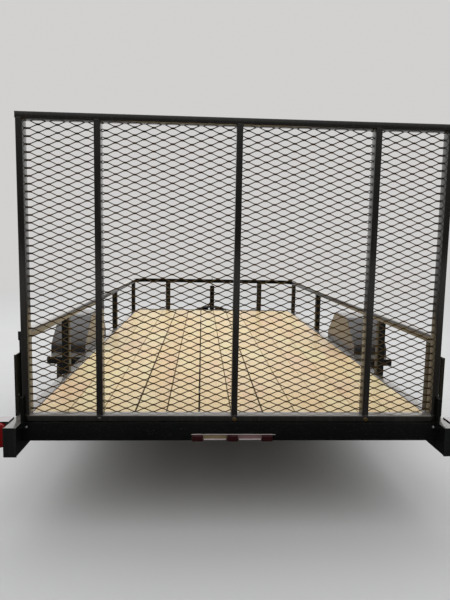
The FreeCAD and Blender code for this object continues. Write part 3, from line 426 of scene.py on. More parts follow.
def make(name, part, finish, slot="black_paint", ride="trailer", stand_for=(), values=(), sharp=35.0):
    """A piece from corners and quads, with its finish, the body that it rides on and the nodes that it stands
    for. The slot argument is not used. Corners at one place are merged, and edges bent by more than sharp
    degrees stay crisp."""
    points, faces = part
    mesh = bpy.data.meshes.new(name)
    mesh.from_pydata(points.tolist(), [], faces.tolist())
    for label, numbers in values:
        numbers = np.asarray(numbers, np.float32).ravel()
        mesh.attributes.new(label, "FLOAT", "POINT").data.foreach_set("value", numbers)
    shell = bmesh.new()
    shell.from_mesh(mesh)
    bmesh.ops.remove_doubles(shell, verts=shell.verts, dist=1e-6)
    bmesh.ops.recalc_face_normals(shell, faces=shell.faces)
    shell.to_mesh(mesh)
    shell.free()
    mesh.shade_smooth()
    mesh.set_sharp_from_angle(angle=math.radians(sharp))
    mesh.materials.append(finish)
    piece = add_object(name, mesh)
    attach(piece, ride)
    if stand_for:
        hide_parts(*stand_for)


def make_pair(name, part, finish, slot="black_paint", ride="trailer", stand_for=(), **more):
    """The right-hand piece and its mirror image. SIDE in a name becomes right, and then left."""
    for side, shape in (("right", part), ("left", mirrored(part))):
        nodes = [node.replace("SIDE", side) for node in stand_for]
        make(name.replace("SIDE", side), shape, finish, slot, ride.replace("SIDE", side), nodes, **more)


def rounded_loop(wide, tall, corner, steps=3):
    """A rectangle's outline with a quarter circle at each corner, as pairs of numbers round its middle."""
    turn = np.linspace(0, np.pi / 2, steps + 1)
    arc = corner * np.stack([np.cos(turn), np.sin(turn)], 1)
    x, y = wide / 2 - corner, tall / 2 - corner
    return np.concatenate([arc + (x, y), arc[::-1] * (-1, 1) + (-x, y), -arc + (-x, -y),
                           arc[::-1] * (1, -1) + (x, -y)])


def carried(loop, path, side, up):
    """A flat outline carried along a path: path + first * side + second * up."""
    side, up = np.broadcast_to(side, path.shape), np.broadcast_to(up, path.shape)
    return path[:, None] + loop[None, :, :1] * side[:, None] + loop[None, :, 1:] * up[:, None]


def capped(rows):
    """Rows of corners with both ends drawn in to their middle, as a closed surface."""
    ends = rows[[0, -1]].mean(1, keepdims=True) + 0 * rows[[0, -1]]
    return surface(np.concatenate([ends[:1], rows, ends[1:]]))


def tube(path, side, up, wide, tall, corner, wall):
    """A rectangular tube with rounded edges: its outside along the path, then its inside back again."""
    tightest = 0.0008
    outside = carried(rounded_loop(wide, tall, corner), path, side, up)
    hollow = rounded_loop(wide - 2 * wall, tall - 2 * wall, max(corner - wall, tightest))
    return surface(np.concatenate([outside, carried(hollow, path, side, up)[::-1]]), along=True)


def middle_line(near, far, run):
    """The line through the middle of a box along one axis, the two ways across it, and its size each way."""
    near, far = np.array([near, far])
    ends = np.array([near + far] * 2) / 2
    ends[:, run] = near[run], far[run]
    across = [axis for axis in range(3) if axis != run]
    return ends, *np.eye(3)[across], *(far - near)[across]


TUBE_CORNER = 0.005


def straight_tube(near, far, run, wall, corner=TUBE_CORNER):
    """A tube that fills a box, open at both ends of its run."""
    return tube(*middle_line(near, far, run), corner, wall)


def bar(near, far, corner):
    """A solid bar along X that fills a box, with rounded long edges."""
    ends, side, up, wide, tall = middle_line(near, far, ALONG_X)
    return capped(carried(rounded_loop(wide, tall, corner, 2), ends, side, up))


def turned(profile, centre, axis, count=32, wobble=None, ring=False):
    """Pairs of along and radius turned about an axis: centre + along * axis + radius * direction. wobble
    gives a factor on the radius for each angle, as for a hexagon, and a ring joins its last row to its
    first."""
    profile = np.asarray(profile)
    angle = np.arange(count) * 2 * np.pi / count
    scale = np.ones(count) if wobble is None else wobble(angle)
    axis = np.asarray(axis) / np.linalg.norm(axis)
    first = np.cross(axis, UP if abs(axis[2]) < 0.9 else RIGHT)
    first /= np.linalg.norm(first)
    second = np.cross(axis, first)
    spokes = (np.cos(angle)[:, None] * first + np.sin(angle)[:, None] * second) * scale[:, None]
    points = centre + profile[:, None, :1] * axis + profile[:, None, 1:] * spokes[None]
    return surface(points, along=ring)


def hexagon(angle):
    """Radius of a hexagon with flats at distance 1."""
    return 1.0 / np.cos((angle + np.pi / 6) % (np.pi / 3) - np.pi / 6)


def rod(start, axis, radius, length):
    return turned([(0, 0), (0, radius), (length, radius), (length, 0)], start, axis, 12)


def bolt(centre, axis, size, tall):
    """A hexagon head with a chamfered top on a washer; size is its half width over the flats."""
    thin = 0.0012
    head = turned([(thin, 0.0), (thin, size), (tall - 0.001, size), (tall, size * 0.86), (tall, 0.0)], centre,
                  axis, 12, hexagon)
    washer = turned([(0, 0), (0, size * 1.55), (thin, size * 1.5), (thin, 0)], centre, axis, 14)
    return joined(washer, head)


def bead(start, end, out, radius=0.003, pitch=0.0032):
    """A weld bead: an oval carried from start to end, drawn in at both ends and swollen by a small wave with
    one crest each pitch: start + t * (end - start) + swell * (cos * side + 0.7 * sin * out)."""
    start, end, out = (np.asarray(v) for v in (start, end, out))
    span = np.linalg.norm(end - start)
    count = max(7, int(span / pitch * 2.2))
    t = np.linspace(0, 1, count)[:, None, None]
    lap = np.linspace(0, 2 * np.pi, 8, endpoint=False)[None, :, None]
    side = np.cross((end - start) / span, out)
    side /= np.linalg.norm(side)
    ends = np.sqrt(np.clip(1 - (2 * t - 1) ** 8, 0, 1))
    swell = radius * ends * (1 + 0.16 * np.cos(2 * np.pi * t * span / pitch))
    return surface(start + t * (end - start) + swell * (np.cos(lap) * side + 0.7 * np.sin(lap) * out))


def side_bead(near, far, height, way, inset=0.004, radius=0.003):
    """A bead on the side of an upright tube that faces this way, seen from above, short of its corners."""
    near, far, way = (np.asarray(v) for v in (near, far, way))
    half = (far - near) / 2
    spot = (near + far) / 2 + way * half
    reach = np.abs(way[::-1]) * (half - inset)
    return bead((*(spot - reach), height), (*(spot + reach), height), (*way, 0), radius)


def smooth_line(points, steps):
    """Catmull-Rom curve through a few points, with steps samples for each span."""
    p = np.asarray(points)
    p = np.concatenate([[2 * p[0] - p[1]], p, [2 * p[-1] - p[-2]]])
    t = (np.arange(steps) / steps)[None, :, None]
    a, b, c, d = (p[i:len(p) - 3 + i, None] for i in range(4))
    line = 0.5 * (2 * b + (c - a) * t + (2 * a - 5 * b + 4 * c - d) * t ** 2
                  + (3 * b - a - 3 * c + d) * t ** 3)
    return np.concatenate([line.reshape(-1, p.shape[1]), p[-2:-1]])


# Frame

RAIL_WALL, POST_WALL = 0.0048, 0.0032
RAIL_CORNER, BEAM_CORNER = 0.006, 0.0015
POST_ALONG = 0.0508
POST_INNER = OUTER + low("posts_right")[0] - high("posts_right")[0]
# Each post seen from above, as two corners
SIDE_POSTS = [((POST_INNER, y - POST_ALONG / 2), (OUTER, y + POST_ALONG / 2))
              for y in REAR + np.array([0.16, 0.787, 2.324, 3.48])]
FRONT_POST = ((high("posts_front")[0] - POST_ALONG, low("posts_front")[1]), high("posts_front")[:2])


def post(near, far):
    return straight_tube((*near, DECK), (*far, POST_TOP), ALONG_Z, POST_WALL)


def dress_frame():
    """Side rails, end crossmembers and posts, as tubes with rounded edges."""
    rail = straight_tube(*box("side_rail_right"), ALONG_Y, RAIL_WALL, RAIL_CORNER)
    make_pair("side_rail_SIDE_tube", rail, BLACK, stand_for=["side_rail_SIDE"])
    for name in ("crossmember_rear", "crossmember_front"):
        beam = straight_tube(*box(name), ALONG_X, RAIL_WALL, BEAM_CORNER)
        # The crossmembers take the darker beam paint, which is painted shade.
        make(f"{name}_tube", beam, SHADED_BEAM_BLACK, stand_for=[name])
    posts = joined(*(post(*plan) for plan in SIDE_POSTS))
    make_pair("posts_SIDE_tubes", posts, BLACK, stand_for=["posts_SIDE"])
    make("posts_front_tubes", both(post(*FRONT_POST)), BLACK, stand_for=["posts_front"])


def dress_top_rail():
    """The side lengths, and the front one: a quarter circle, a straight and another quarter circle."""
    near, far = box("top_rail_right")
    make_pair("top_rail_SIDE_tube", straight_tube(near, far, ALONG_Y, POST_WALL), RAIL_BLACK,
              stand_for=["top_rail_SIDE"])
    size = far[2] - near[2]
    radius = high("top_rail_front")[1] - size / 2 - far[1]
    reach = OUTER - size / 2 - radius
    turn = np.linspace(0, np.pi / 2, 15)
    lean = np.concatenate([turn, turn + np.pi / 2])
    x = np.concatenate([reach + radius * np.cos(turn), -reach - radius * np.sin(turn)])
    y = far[1] + radius * np.concatenate([np.sin(turn), np.cos(turn)])
    path = np.stack([x, y, np.full_like(x, (near[2] + far[2]) / 2)], 1)
    side = np.stack([np.cos(lean), np.sin(lean), np.zeros_like(lean)], 1)
    make("top_rail_front_tube", tube(path, side, UP, size, size, TUBE_CORNER, POST_WALL), FRONT_BLACK,
         stand_for=["top_rail_front"])


def dress_welds():
    """Beads at the feet and heads of the posts."""
    levels = (DECK + 0.0005, POST_TOP - 0.0005)
    inner, rear, front, outer = (-1, 0), (0, -1), (0, 1), (1, 0)
    right = [side_bead(*plan, z, way) for plan in SIDE_POSTS for z in levels for way in (inner, rear, front)]
    make_pair("post_welds_SIDE", joined(*right), BLACK)
    ahead = [side_bead(*FRONT_POST, z, way) for z in levels for way in (rear, outer, inner)]
    make("post_welds_front", both(joined(*ahead)), BLACK)


# Plank deck

# Each seam's middle across the trailer, and its gap
SEAMS = ((-0.716, 0.0018), (-0.569, 0.0022), (-0.425, 0.0048), (-0.288, 0.003), (-0.145, 0.0055),
         (-0.004, 0.0028), (0.136, 0.004), (0.281, 0.0022), (0.425, 0.001), (0.567, 0.0012),
         (0.712, 0.0014))
OUTER_BOARDS_MORE = 0.0045
OUTER_GAP = 0.0002
BOARD, BOARD_EDGE = 0.14, 0.0035
# How far screws stand in from a board's end and the outer channels, and aside as a share of its width
SCREW_FROM_END, SCREW_FROM_CHANNEL = 0.02, 0.018
SCREW_ASIDE = 0.3
SCREW = ((-0.002, 0), (-0.0012, 0.0024), (-0.0006, 0.0027), (-0.0004, 0.0052), (-0.004, 0.0056), (-0.004, 0))


def dress_deck():
    """Boards with eased edges, and their screws: a rounded outline carried along each board, dished by a
    square law across its width and wandering by two slow waves along its length. The edge value rises to 1 in
    the seams."""
    near, far = box("deck_planks")
    seam, gap = np.array(SEAMS).T
    left = np.concatenate([near[:1] - OUTER_BOARDS_MORE, seam + gap / 2])
    right = np.concatenate([seam - gap / 2, far[:1] + OUTER_BOARDS_MORE])
    gap = np.concatenate([[OUTER_GAP], gap, [OUTER_GAP]])
    wide, centre, thick = right - left, (left + right) / 2, far[2] - near[2]
    loop = rounded_loop(BOARD, thick, BOARD_EDGE, 2)
    top = np.stack([np.linspace(0.064, -0.064, 15), np.full(15, thick / 2)], 1)
    loop = np.concatenate([loop[:3], top, loop[3:]])
    board = np.arange(len(wide))
    b, y, u = np.meshgrid(board, np.linspace(near[1], far[1], 60), np.arange(len(loop)), indexing="ij")
    x, z = loop[u, 0] + np.sign(loop[u, 0]) * (wide[b] - BOARD) / 2, loop[u, 1]
    lift = 0.0006 * np.sin(1.9 * y + 2.3 * b) + 0.0005 * np.sin(4.1 * y + 5.1 * b) - 0.0011
    dish = -0.0009 * (1 - (2 * x / wide[b]) ** 2)
    edge = np.clip((np.abs(x) - wide[b] / 2) / 0.0034 + 1, 0, 1)
    edge = edge * np.clip(np.where(x > 0, gap[b + 1], gap[b]) / 0.004, 0.1, 1)
    points = np.stack([centre[b] + x, y, (near[2] + far[2]) / 2 + z + (lift + dish) * (z > 0)], -1)
    boards = joined(*(capped(rows) for rows in points))
    edge = np.pad(edge, ((0, 0), (1, 1), (0, 0)), constant_values=0.6)
    number = np.repeat(board + 0.5, len(boards[0]) // len(board))
    make("pine_boards", boards, PLANKS, "planks", stand_for=["deck_planks"],
         values=[("board", number), ("edge", edge)])
    over_channels = np.linspace(low("crossmembers")[1] + SCREW_FROM_CHANNEL,
                                high("crossmembers")[1] - SCREW_FROM_CHANNEL, 6)
    rows = [near[1] + SCREW_FROM_END, *over_channels, far[1] - SCREW_FROM_END]
    screws = [turned(SCREW, (x + side * span * SCREW_ASIDE, y, DECK - 0.0004), UP, 10)
              for x, span in zip(centre, wide) for y in rows for side in (-1, 1)]
    make("deck_screws", joined(*screws), ZINC, "zinc_steel")


# Ramp gate

GATE_FACE, GATE_WALL, GATE_CORNER = 0.0254, 0.0024, 0.0035
GATE_LOW, GATE_HIGH = box("gate_rails")
GATE_EDGE = GATE_HIGH[0] - GATE_FACE / 2
GATE_UPRIGHTS = (-GATE_EDGE, -0.55, 0.0, 0.55, GATE_EDGE)


def weld_patch(x, start, end, radius):
    """A coarse bead on the rear of the foot rail, measured from where an upright meets it."""
    y, z = GATE_LOW[1] + 0.0004, GATE_LOW[2] + 0.01
    return bead((x + start[0], y, z + start[1]), (x + end[0], y, z + end[1]), BACKWARD, radius, 0.006)


def dress_gate_frame():
    """Head, foot and uprights as rounded tubes, their welds, two rusted weld patches and a dull one."""
    near, far = GATE_LOW, GATE_HIGH
    levels = near[2] + GATE_FACE, far[2] - GATE_FACE
    foot = straight_tube(near, (*far[:2], levels[0]), ALONG_X, GATE_WALL, GATE_CORNER)
    head = straight_tube((*near[:2], levels[1]), far, ALONG_X, GATE_WALL, GATE_CORNER)
    make("gate_rails_tubes", joined(foot, head), FRAME_BLACK, ride="gate", stand_for=["gate_rails"])
    uprights, beads = [], []
    for x in GATE_UPRIGHTS:
        left, right = x - GATE_FACE / 2, x + GATE_FACE / 2
        ends = (left, near[1], levels[0]), (right, far[1], levels[1])
        uprights.append(straight_tube(*ends, ALONG_Z, GATE_WALL, GATE_CORNER))
        for z in levels:
            for way in (-1, 1):
                beads.append(side_bead((left, near[1]), (right, far[1]), z, (way, 0), radius=0.0026))
            beads.append(side_bead((left, near[1] + 0.0006), (right, far[1]), z, (0, -1), 0.002, 0.0024))
    make("gate_uprights_tubes", joined(*uprights), FRAME_BLACK, ride="gate", stand_for=["gate_uprights"])
    make("gate_welds", joined(*beads), FRAME_BLACK, ride="gate")
    rusty = [weld_patch(x, (-0.006, -0.006), (0.007, 0.007), 0.01) for x in GATE_UPRIGHTS[2:4]]
    make("gate_rusty_welds", joined(*rusty), RUSTED, ride="gate")
    dull = weld_patch(GATE_UPRIGHTS[1], (-0.007, 0.006), (0.007, 0.005), 0.004)
    make("gate_dull_weld", dull, DULL_STEEL, ride="gate")


# Half a diamond's width and half its height, where the first one starts, the strand's section, and the share
# of half a diamond's width that is flat at each end
MESH_COLUMN, MESH_ROW = 0.0375, 0.01521
MESH_START = (-0.8252, 0.5288)
STRAND_WIDE, STRAND_THICK = 0.0038, 0.0027
KNUCKLE = 0.147


def dress_gate_mesh():
    """Expanded steel: each strand runs across the gate as a zigzag between two rows, with short flats at its
    knuckles, where it joins the strands above and below. Height = row + rise, and the section is a slanted
    rectangle, tipped one way going up and the other way going down: middle + a * tilted width + b * tilted
    thickness."""
    near, far = box("gate_mesh")
    first, last = (near[0] - MESH_START[0]) / MESH_COLUMN, (far[0] - MESH_START[0]) / MESH_COLUMN
    share = np.array([0.0, KNUCKLE, 0.25, 0.5, 0.75, 1 - KNUCKLE])
    s = (np.arange(math.floor(first), math.ceil(last))[:, None] + share).ravel()
    s = np.concatenate([[first], s[(s > first) & (s < last)], [last]])
    column = np.floor(s)
    climb = np.clip((s - column - KNUCKLE) / (1 - 2 * KNUCKLE), 0, 1)
    row = np.arange(math.ceil((near[2] - MESH_START[1]) / MESH_ROW),
                    math.floor((far[2] - MESH_START[1]) / MESH_ROW))[:, None]
    going_up = (column + row) % 2 == 1
    inset = 0.4 * STRAND_WIDE
    z = MESH_START[1] + MESH_ROW * row + inset + (MESH_ROW - 2 * inset) * np.where(going_up, climb, 1 - climb)
    tilt = 0.25 + 0.55 * np.where(going_up, 1, -1) * np.sqrt(4 * climb * (1 - climb))
    cos, sin = np.cos(tilt)[..., None], np.sin(tilt)[..., None]
    a, b = np.array([(-1, 1, 1, -1), (-1, -1, 1, 1)]) / 2 * [[STRAND_WIDE], [STRAND_THICK]]
    off_z, off_y = a * cos - b * sin, a * sin + b * cos
    x = np.broadcast_to((MESH_START[0] + MESH_COLUMN * s)[:, None], off_z.shape)
    points = np.stack([x, middle("gate_mesh")[1] + off_y, z[..., None] + off_z], -1)
    make("expanded_mesh", joined(*(capped(rows) for rows in points)), MESH_PAINT, "mesh_paint", "gate",
         ["gate_mesh"], sharp=50)


PIVOT_PLACE, PIVOT_HEIGHT, PIN_FROM_END = -2.4805, 0.451, 0.01
STUD_ASIDE, STUD_HEIGHT = 0.843, 0.452


def dress_hinges():
    """The pins' rounded ends, seen between gate and side rails, and a stud near each end of the rear beam."""
    pin = turned([(0, 0), (0, 0.0078), (0.006, 0.0078), (0.0085, 0.0055), (0.009, 0)],
                 (high("gate_hinge_right")[0] - PIN_FROM_END, PIVOT_PLACE, PIVOT_HEIGHT), RIGHT, 20)
    make("pivot_pin_ends", both(pin), ZINC, "zinc_steel", "gate")
    stud = turned([(0, 0), (0, 0.0055), (0.003, 0.0052), (0.005, 0.0035), (0.007, 0.003), (0.008, 0)],
                  (STUD_ASIDE, REAR + 0.0003, STUD_HEIGHT), BACKWARD, 12)
    make("crossmember_studs", both(stud), ZINC, "zinc_steel")


# Fenders

FENDER_LOW, FENDER_HIGH = box("fender_right")
FENDER_TOP, FENDER_SHOULDER = 0.305, DECK + 0.051
FENDER_ROUND, FENDER_LIP, FENDER_BEND, FENDER_STEEL = 0.045, 0.03, 0.006, 0.003
BACK_GAP = 0.0004
FENDER_SIDE = np.array([  # both feet, both shoulders and the flat top, seen from the side
    (FENDER_LOW[1], FENDER_LOW[2]), (FENDER_LOW[1], FENDER_SHOULDER),
    (AXLE[1] - FENDER_TOP / 2, FENDER_HIGH[2]), (AXLE[1] + FENDER_TOP / 2, FENDER_HIGH[2]),
    (FENDER_HIGH[1], FENDER_SHOULDER), (FENDER_HIGH[1], FENDER_LOW[2])])


def bent_outline(corners, radius, steps):
    """A run of straight lines whose corners are rounded, with the outward normal at each point."""
    ways = np.diff(corners, axis=0)
    ways /= np.linalg.norm(ways, axis=1)[:, None]
    outs = np.stack([-ways[:, 1], ways[:, 0]], 1)
    points, normals = [corners[0]], [outs[0]]
    for i in range(1, len(corners) - 1):
        turn = math.acos(np.clip(ways[i - 1] @ ways[i], -1, 1))
        centre = corners[i] - ways[i - 1] * radius * math.tan(turn / 2) - outs[i - 1] * radius
        share = np.linspace(0, 1, steps)[:, None]
        out = (1 - share) * outs[i - 1] + share * outs[i]
        out /= np.linalg.norm(out, axis=1)[:, None]
        points.extend(centre + radius * out)
        normals.extend(out)
    return np.array([*points, corners[-1]]), np.array([*normals, outs[-1]])


def dress_fenders():
    """The cover is a sheet carried along the side view: flat across, then rounded over into its outer lip.
    The back closes it towards the rail: each point of the side view joined straight down to the foot."""
    line, out = bent_outline(FENDER_SIDE, FENDER_ROUND, 9)
    foot, wide = FENDER_LOW[2], FENDER_HIGH[0] - OUTER
    turn = np.linspace(0, np.pi / 2, 5)[1:]
    flat = np.linspace(FENDER_STEEL, wide - FENDER_BEND, 7)
    across = np.concatenate([flat, wide - FENDER_BEND + FENDER_BEND * np.sin(turn), [wide]])
    inward = np.concatenate([0 * flat, FENDER_BEND - FENDER_BEND * np.cos(turn), [FENDER_LIP]])
    under = across - np.clip(inward * 9, 0, FENDER_STEEL)
    x = OUTER + np.concatenate([across, under[::-1]])
    drop = np.concatenate([inward, np.maximum(inward[::-1], FENDER_STEEL)])
    yz = line[:, None] - out[:, None] * drop[None, :, None]
    points = np.concatenate([np.broadcast_to(x[None, :, None], yz.shape[:2] + (1,)), yz], -1)
    points[..., 2] = np.maximum(points[..., 2], foot)
    corners, quads = surface(points)
    j = np.arange(len(x) // 2 - 1)
    caps = np.stack([j, j + 1, len(x) - 2 - j, len(x) - 1 - j], 1)
    cover = corners, np.concatenate([quads, caps, caps + (len(points) - 1) * len(x)])
    make_pair("fender_cover_SIDE", cover, FENDER_PAINT, stand_for=["fender_SIDE"])
    share = np.linspace(0, 1, 9)
    y, z = line[1:-1, 0][:, None] + 0 * share, foot + (line[1:-1, 1] - 0.0008 - foot)[:, None] * share
    face = np.stack([np.full_like(y, OUTER + BACK_GAP), y, z], -1)
    back = capped(np.concatenate([face, face[:, ::-1] + (FENDER_STEEL - BACK_GAP, 0, 0)], 1))
    make_pair("fender_back_SIDE", back, BACK_PAINT)
    beads = []
    for a, b in zip(FENDER_SIDE[1:-2], FENDER_SIDE[2:-1]):
        start, end = a + (b - a) * 0.06, b - (b - a) * 0.06
        beads.append(bead((OUTER + 0.002, *start), (OUTER + 0.002, *end), (-0.4, 0, 1), 0.0028, 0.004))
    make_pair("fender_welds_SIDE", joined(*beads), BLACK)


# Wheels

# Distance from the wheel's middle plane and radius, from the bead up to the shoulder
TYRE_SIDE = ((0.0525, 0.1665), (0.053, 0.179), (0.064, 0.185), (0.079, 0.199), (0.0868, 0.216),
             (0.0889, 0.236), (0.0889, 0.256), (0.0885, 0.274), (0.086, 0.287), (0.0825, 0.295),
             (0.076, 0.3005), (0.07, 0.3025))
TYRE_BEAD, TYRE_WALL = 0.1665, 0.0889
TREAD_HALF, TREAD_RADIUS, TREAD_CROWN = 0.066, 0.305, 0.0015
GROOVE_PLACES, GROOVE_HALF, GROOVE_DEEP = (-0.042, -0.0145, 0.0145, 0.042), 0.0026, 0.0075
CUT_DEEP, SLIT_DEEP, RING_PROUD = 0.006, 0.0022, 0.0007


def repeated(phase, middle_height, steepness):
    """A flat-topped crest at the middle of each whole turn of phase."""
    return np.clip(middle_height - np.abs(phase % 1 - 0.5) * steepness, 0, 1)


def tyre_surface():
    """A tyre turned about X: its section is two mirrored sidewalls joined by a slightly crowned tread, with a
    thinner inside. Radius falls in four grooves round the tread, in slanted cuts across its outer ribs and in
    fine slits, and two fine rings stand proud of each sidewall."""
    side = smooth_line(TYRE_SIDE, 4)
    crown = np.linspace(TREAD_HALF, -TREAD_HALF, 67)
    crown = np.stack([crown, TREAD_RADIUS - TREAD_CROWN * (crown / TREAD_HALF) ** 2], 1)
    section = np.concatenate([side, crown, side[::-1] * (-1, 1)])
    inside = section[::3][::-1] * (0.86, 1)
    inside[:, 1] = TYRE_BEAD + (inside[:, 1] - TYRE_BEAD) * 0.9
    count = 288
    theta = (np.arange(count) * 2 * np.pi / count)[:, None]
    x, r = section.T[:, None]
    off = np.abs(x)
    grooves = sum(np.clip(1.5 - np.abs(x - place) / GROOVE_HALF, 0, 1) for place in GROOVE_PLACES)
    cuts = repeated(theta * 36 / np.pi + x * 55, 2.4, 18) * (off > 0.047) * (off < 0.076)
    slits = repeated(theta * 48 / np.pi - x * 90, 1.6, 20) * (off < 0.039)
    depth = np.maximum(grooves * (off < 0.0665) * GROOVE_DEEP, np.maximum(cuts * CUT_DEEP, slits * SLIT_DEEP))
    rings = np.clip(1 - np.abs(r - 0.196) / 0.0022, 0, 1) + np.clip(1 - np.abs(r - 0.262) / 0.0018, 0, 1)
    x = np.clip(x + np.sign(x) * RING_PROUD * rings * (off > 0.07), -TYRE_WALL, TYRE_WALL)
    within = np.broadcast_to(inside.T[:, None], (2, count, len(inside)))
    x = np.concatenate([np.broadcast_to(x, depth.shape), within[0]], 1)
    radius = np.concatenate([r - depth, within[1]], 1)
    points = np.stack([x, radius * np.cos(theta), radius * np.sin(theta)], -1)
    return points + AXLE, np.concatenate([depth / GROOVE_DEEP, 0 * within[0]], 1)


def dress_tyres():
    """Both tyres. The groove value is 1 at the bottom of a groove."""
    points, groove = tyre_surface()
    make_pair("tyre_tread_SIDE", surface(points, along=True), RUBBER, "tyre", "wheel_SIDE", ["tyre_SIDE"],
              values=[("groove", groove)], sharp=40)


# Profiles as pairs of along the axle and radius
FLANGE = np.array([(0.053, 0.165), (0.053, 0.1745), (0.0545, 0.1765), (0.057, 0.1768), (0.058, 0.175),
                   (0.0578, 0.164), (0.056, 0.163)])
DISC_RIDGE = ((0.003, 0.073), (0.005, 0.074), (0.008, 0.079), (0.0095, 0.085), (0.008, 0.091), (0.005, 0.096),
              (0.003, 0.097))
HUB_CAP = ((0.046, 0.0), (0.046, 0.03), (0.049, 0.0306), (0.052, 0.03), (0.0555, 0.0275), (0.058, 0.02),
           (0.0592, 0.01), (0.0595, 0.0))
CONE_NUT = ((0, 0), (0, 0.0125), (0.004, 0.0092), (0.018, 0.0092), (0.021, 0.0072), (0.022, 0))
VALVE = ((0, 0), (0, 0.007), (0.008, 0.0055), (0.026, 0.0036), (0.034, 0.0036), (0.034, 0))
NUT_CIRCLE, VALVE_PLACE, VALVE_WAY = 0.0572, (0.022, 0.098, 0.098), (0.9, 0.25, 0.25)


def dress_wheels():
    """The rim's rolled flanges and its disc's ridge, the hub's domed cap, five cone nuts and a valve."""
    rim = joined(*(turned(FLANGE * (side, 1), AXLE, RIGHT, 96, ring=True) for side in (1, -1)),
                 turned(DISC_RIDGE, AXLE, RIGHT, 72, ring=True))
    make_pair("rim_flanges_SIDE", rim, RIM_PAINT, "rim_paint", "wheel_SIDE")
    make_pair("hub_cap_SIDE", turned(HUB_CAP, AXLE, RIGHT, 48), ZINC, "zinc_steel", "wheel_SIDE")
    spots = [AXLE + (0.004, NUT_CIRCLE * math.cos(angle), NUT_CIRCLE * math.sin(angle))
             for angle in 2 * np.pi * np.arange(5) / 5 + 0.3]
    nuts = [turned(CONE_NUT, spot, RIGHT, 12, hexagon) for spot in spots]
    valve = turned(VALVE, AXLE + VALVE_PLACE, VALVE_WAY, 14)
    make_pair("wheel_nuts_SIDE", joined(*nuts, valve), ZINC, "zinc_steel", "wheel_SIDE")


# Lamps

BAR_MIDDLE, BAR_PITCH = -0.006, 0.1443
BAR_LENS, BAR_LENS_TALL = 0.044, 0.024


def lens_shell(centre, wide, tall, deep, power=5.0):
    """A lamp lens facing backwards: a rounded rectangle |x|^p + |z|^p = 1 shrunk towards its middle as it
    rises, rise = deep * (0.72 + 0.28 * (1 - shrink^8)^(1/2))."""
    angle = np.linspace(0, 2 * np.pi, 48, endpoint=False)
    round_x = np.sign(np.cos(angle)) * np.abs(np.cos(angle)) ** (2 / power)
    round_z = np.sign(np.sin(angle)) * np.abs(np.sin(angle)) ** (2 / power)
    shrink = np.array([0.0, 1.0, 1.0, 0.995, 0.98, 0.95, 0.88, 0.7, 0.45, 0.2, 0.0])[:, None]
    rise = deep * (0.72 + 0.28 * np.sqrt(1 - shrink ** 8))
    rise[:2] = 0
    return surface(np.stack([centre[0] + wide / 2 * shrink * round_x,
                             centre[1] - rise + 0 * round_x,
                             centre[2] + tall / 2 * shrink * round_z], -1))


def dress_lamps():
    """The tail lamps' lenses, and the lamp bar: three lenses, a plate in two tints that are painted
    reflections, and pale strips on its edges that are painted highlights.
    """
    near, far = box("lamp_lenses")
    wide = far[0] - (OUTER + 0.006)
    centre = far[0] - wide / 2, far[1], (near[2] + far[2]) / 2
    tail = lens_shell(centre, wide, far[2] - near[2], far[1] - near[1])
    make("tail_lenses", both(tail), RED_LENS, "red_lens", stand_for=["lamp_lenses"], sharp=50)
    near, far = box("bar_lamps")
    spots = [(BAR_MIDDLE + i * BAR_PITCH, far[1], (near[2] + far[2]) / 2) for i in (-1, 0, 1)]
    lenses = [lens_shell(spot, BAR_LENS, BAR_LENS_TALL, far[1] - near[1], power=14.0) for spot in spots]
    make("bar_lenses", joined(*lenses), DARK_LENS, "red_lens", stand_for=["bar_lamps"], sharp=50)
    (_, face, foot), (_, back, top) = box("lamp_bar")
    left, right = (BAR_MIDDLE + way * (BAR_PITCH + BAR_LENS / 2) for way in (-1, 1))
    # The plate's amber-brown left half and rosy right half are painted reflections.
    make("lamp_bar_plate", bar((left - 0.001, face, foot + 0.006), (BAR_MIDDLE, back, top), 0.001), AMBER_REFLECTION_PLATE,
         "zinc_steel", stand_for=["lamp_bar"])
    make("lamp_bar_plate_right", bar((BAR_MIDDLE, face, foot + 0.006), (right + 0.001, back, top), 0.001),
         ROSY_REFLECTION_PLATE, "zinc_steel")
    # Pale strips along the plate's top edge and along its foot between the lenses: painted highlights where
    # these edges catch the light.
    highlight_lips = [bar((left - 0.004, face - 0.0045, top - 0.0014), (right + 0.012, face + 0.001, top), 0.0006)]
    for start in (BAR_MIDDLE - BAR_PITCH, BAR_MIDDLE):
        ends = start + BAR_LENS / 2 + 0.004, start + BAR_PITCH - BAR_LENS / 2 - 0.004
        highlight_lips.append(bar((ends[0], face - 0.008, foot + 0.0065), (ends[1], face + 0.001, foot + 0.011), 0.001))
    make("lamp_bar_highlight_lips", joined(*highlight_lips), HIGHLIGHT_LIP, "zinc_steel")


# Fasteners on the jack and the springs

JACK_FLANGE, JACK_CIRCLE = 0.406, 0.04
HANGER_EYE, HANGER_FACE = 0.02, 0.0273
# How far the clamp's legs stand aside from the spring, and along and down from the axle
CLAMP_ASIDE, CLAMP_ALONG, CLAMP_BELOW = 0.027, 0.0365, 0.138
CLAMP_ROD, CLAMP_BAR, CLAMP_LEG, CLAMP_NUT = 0.0055, 0.084, 0.108, 0.1


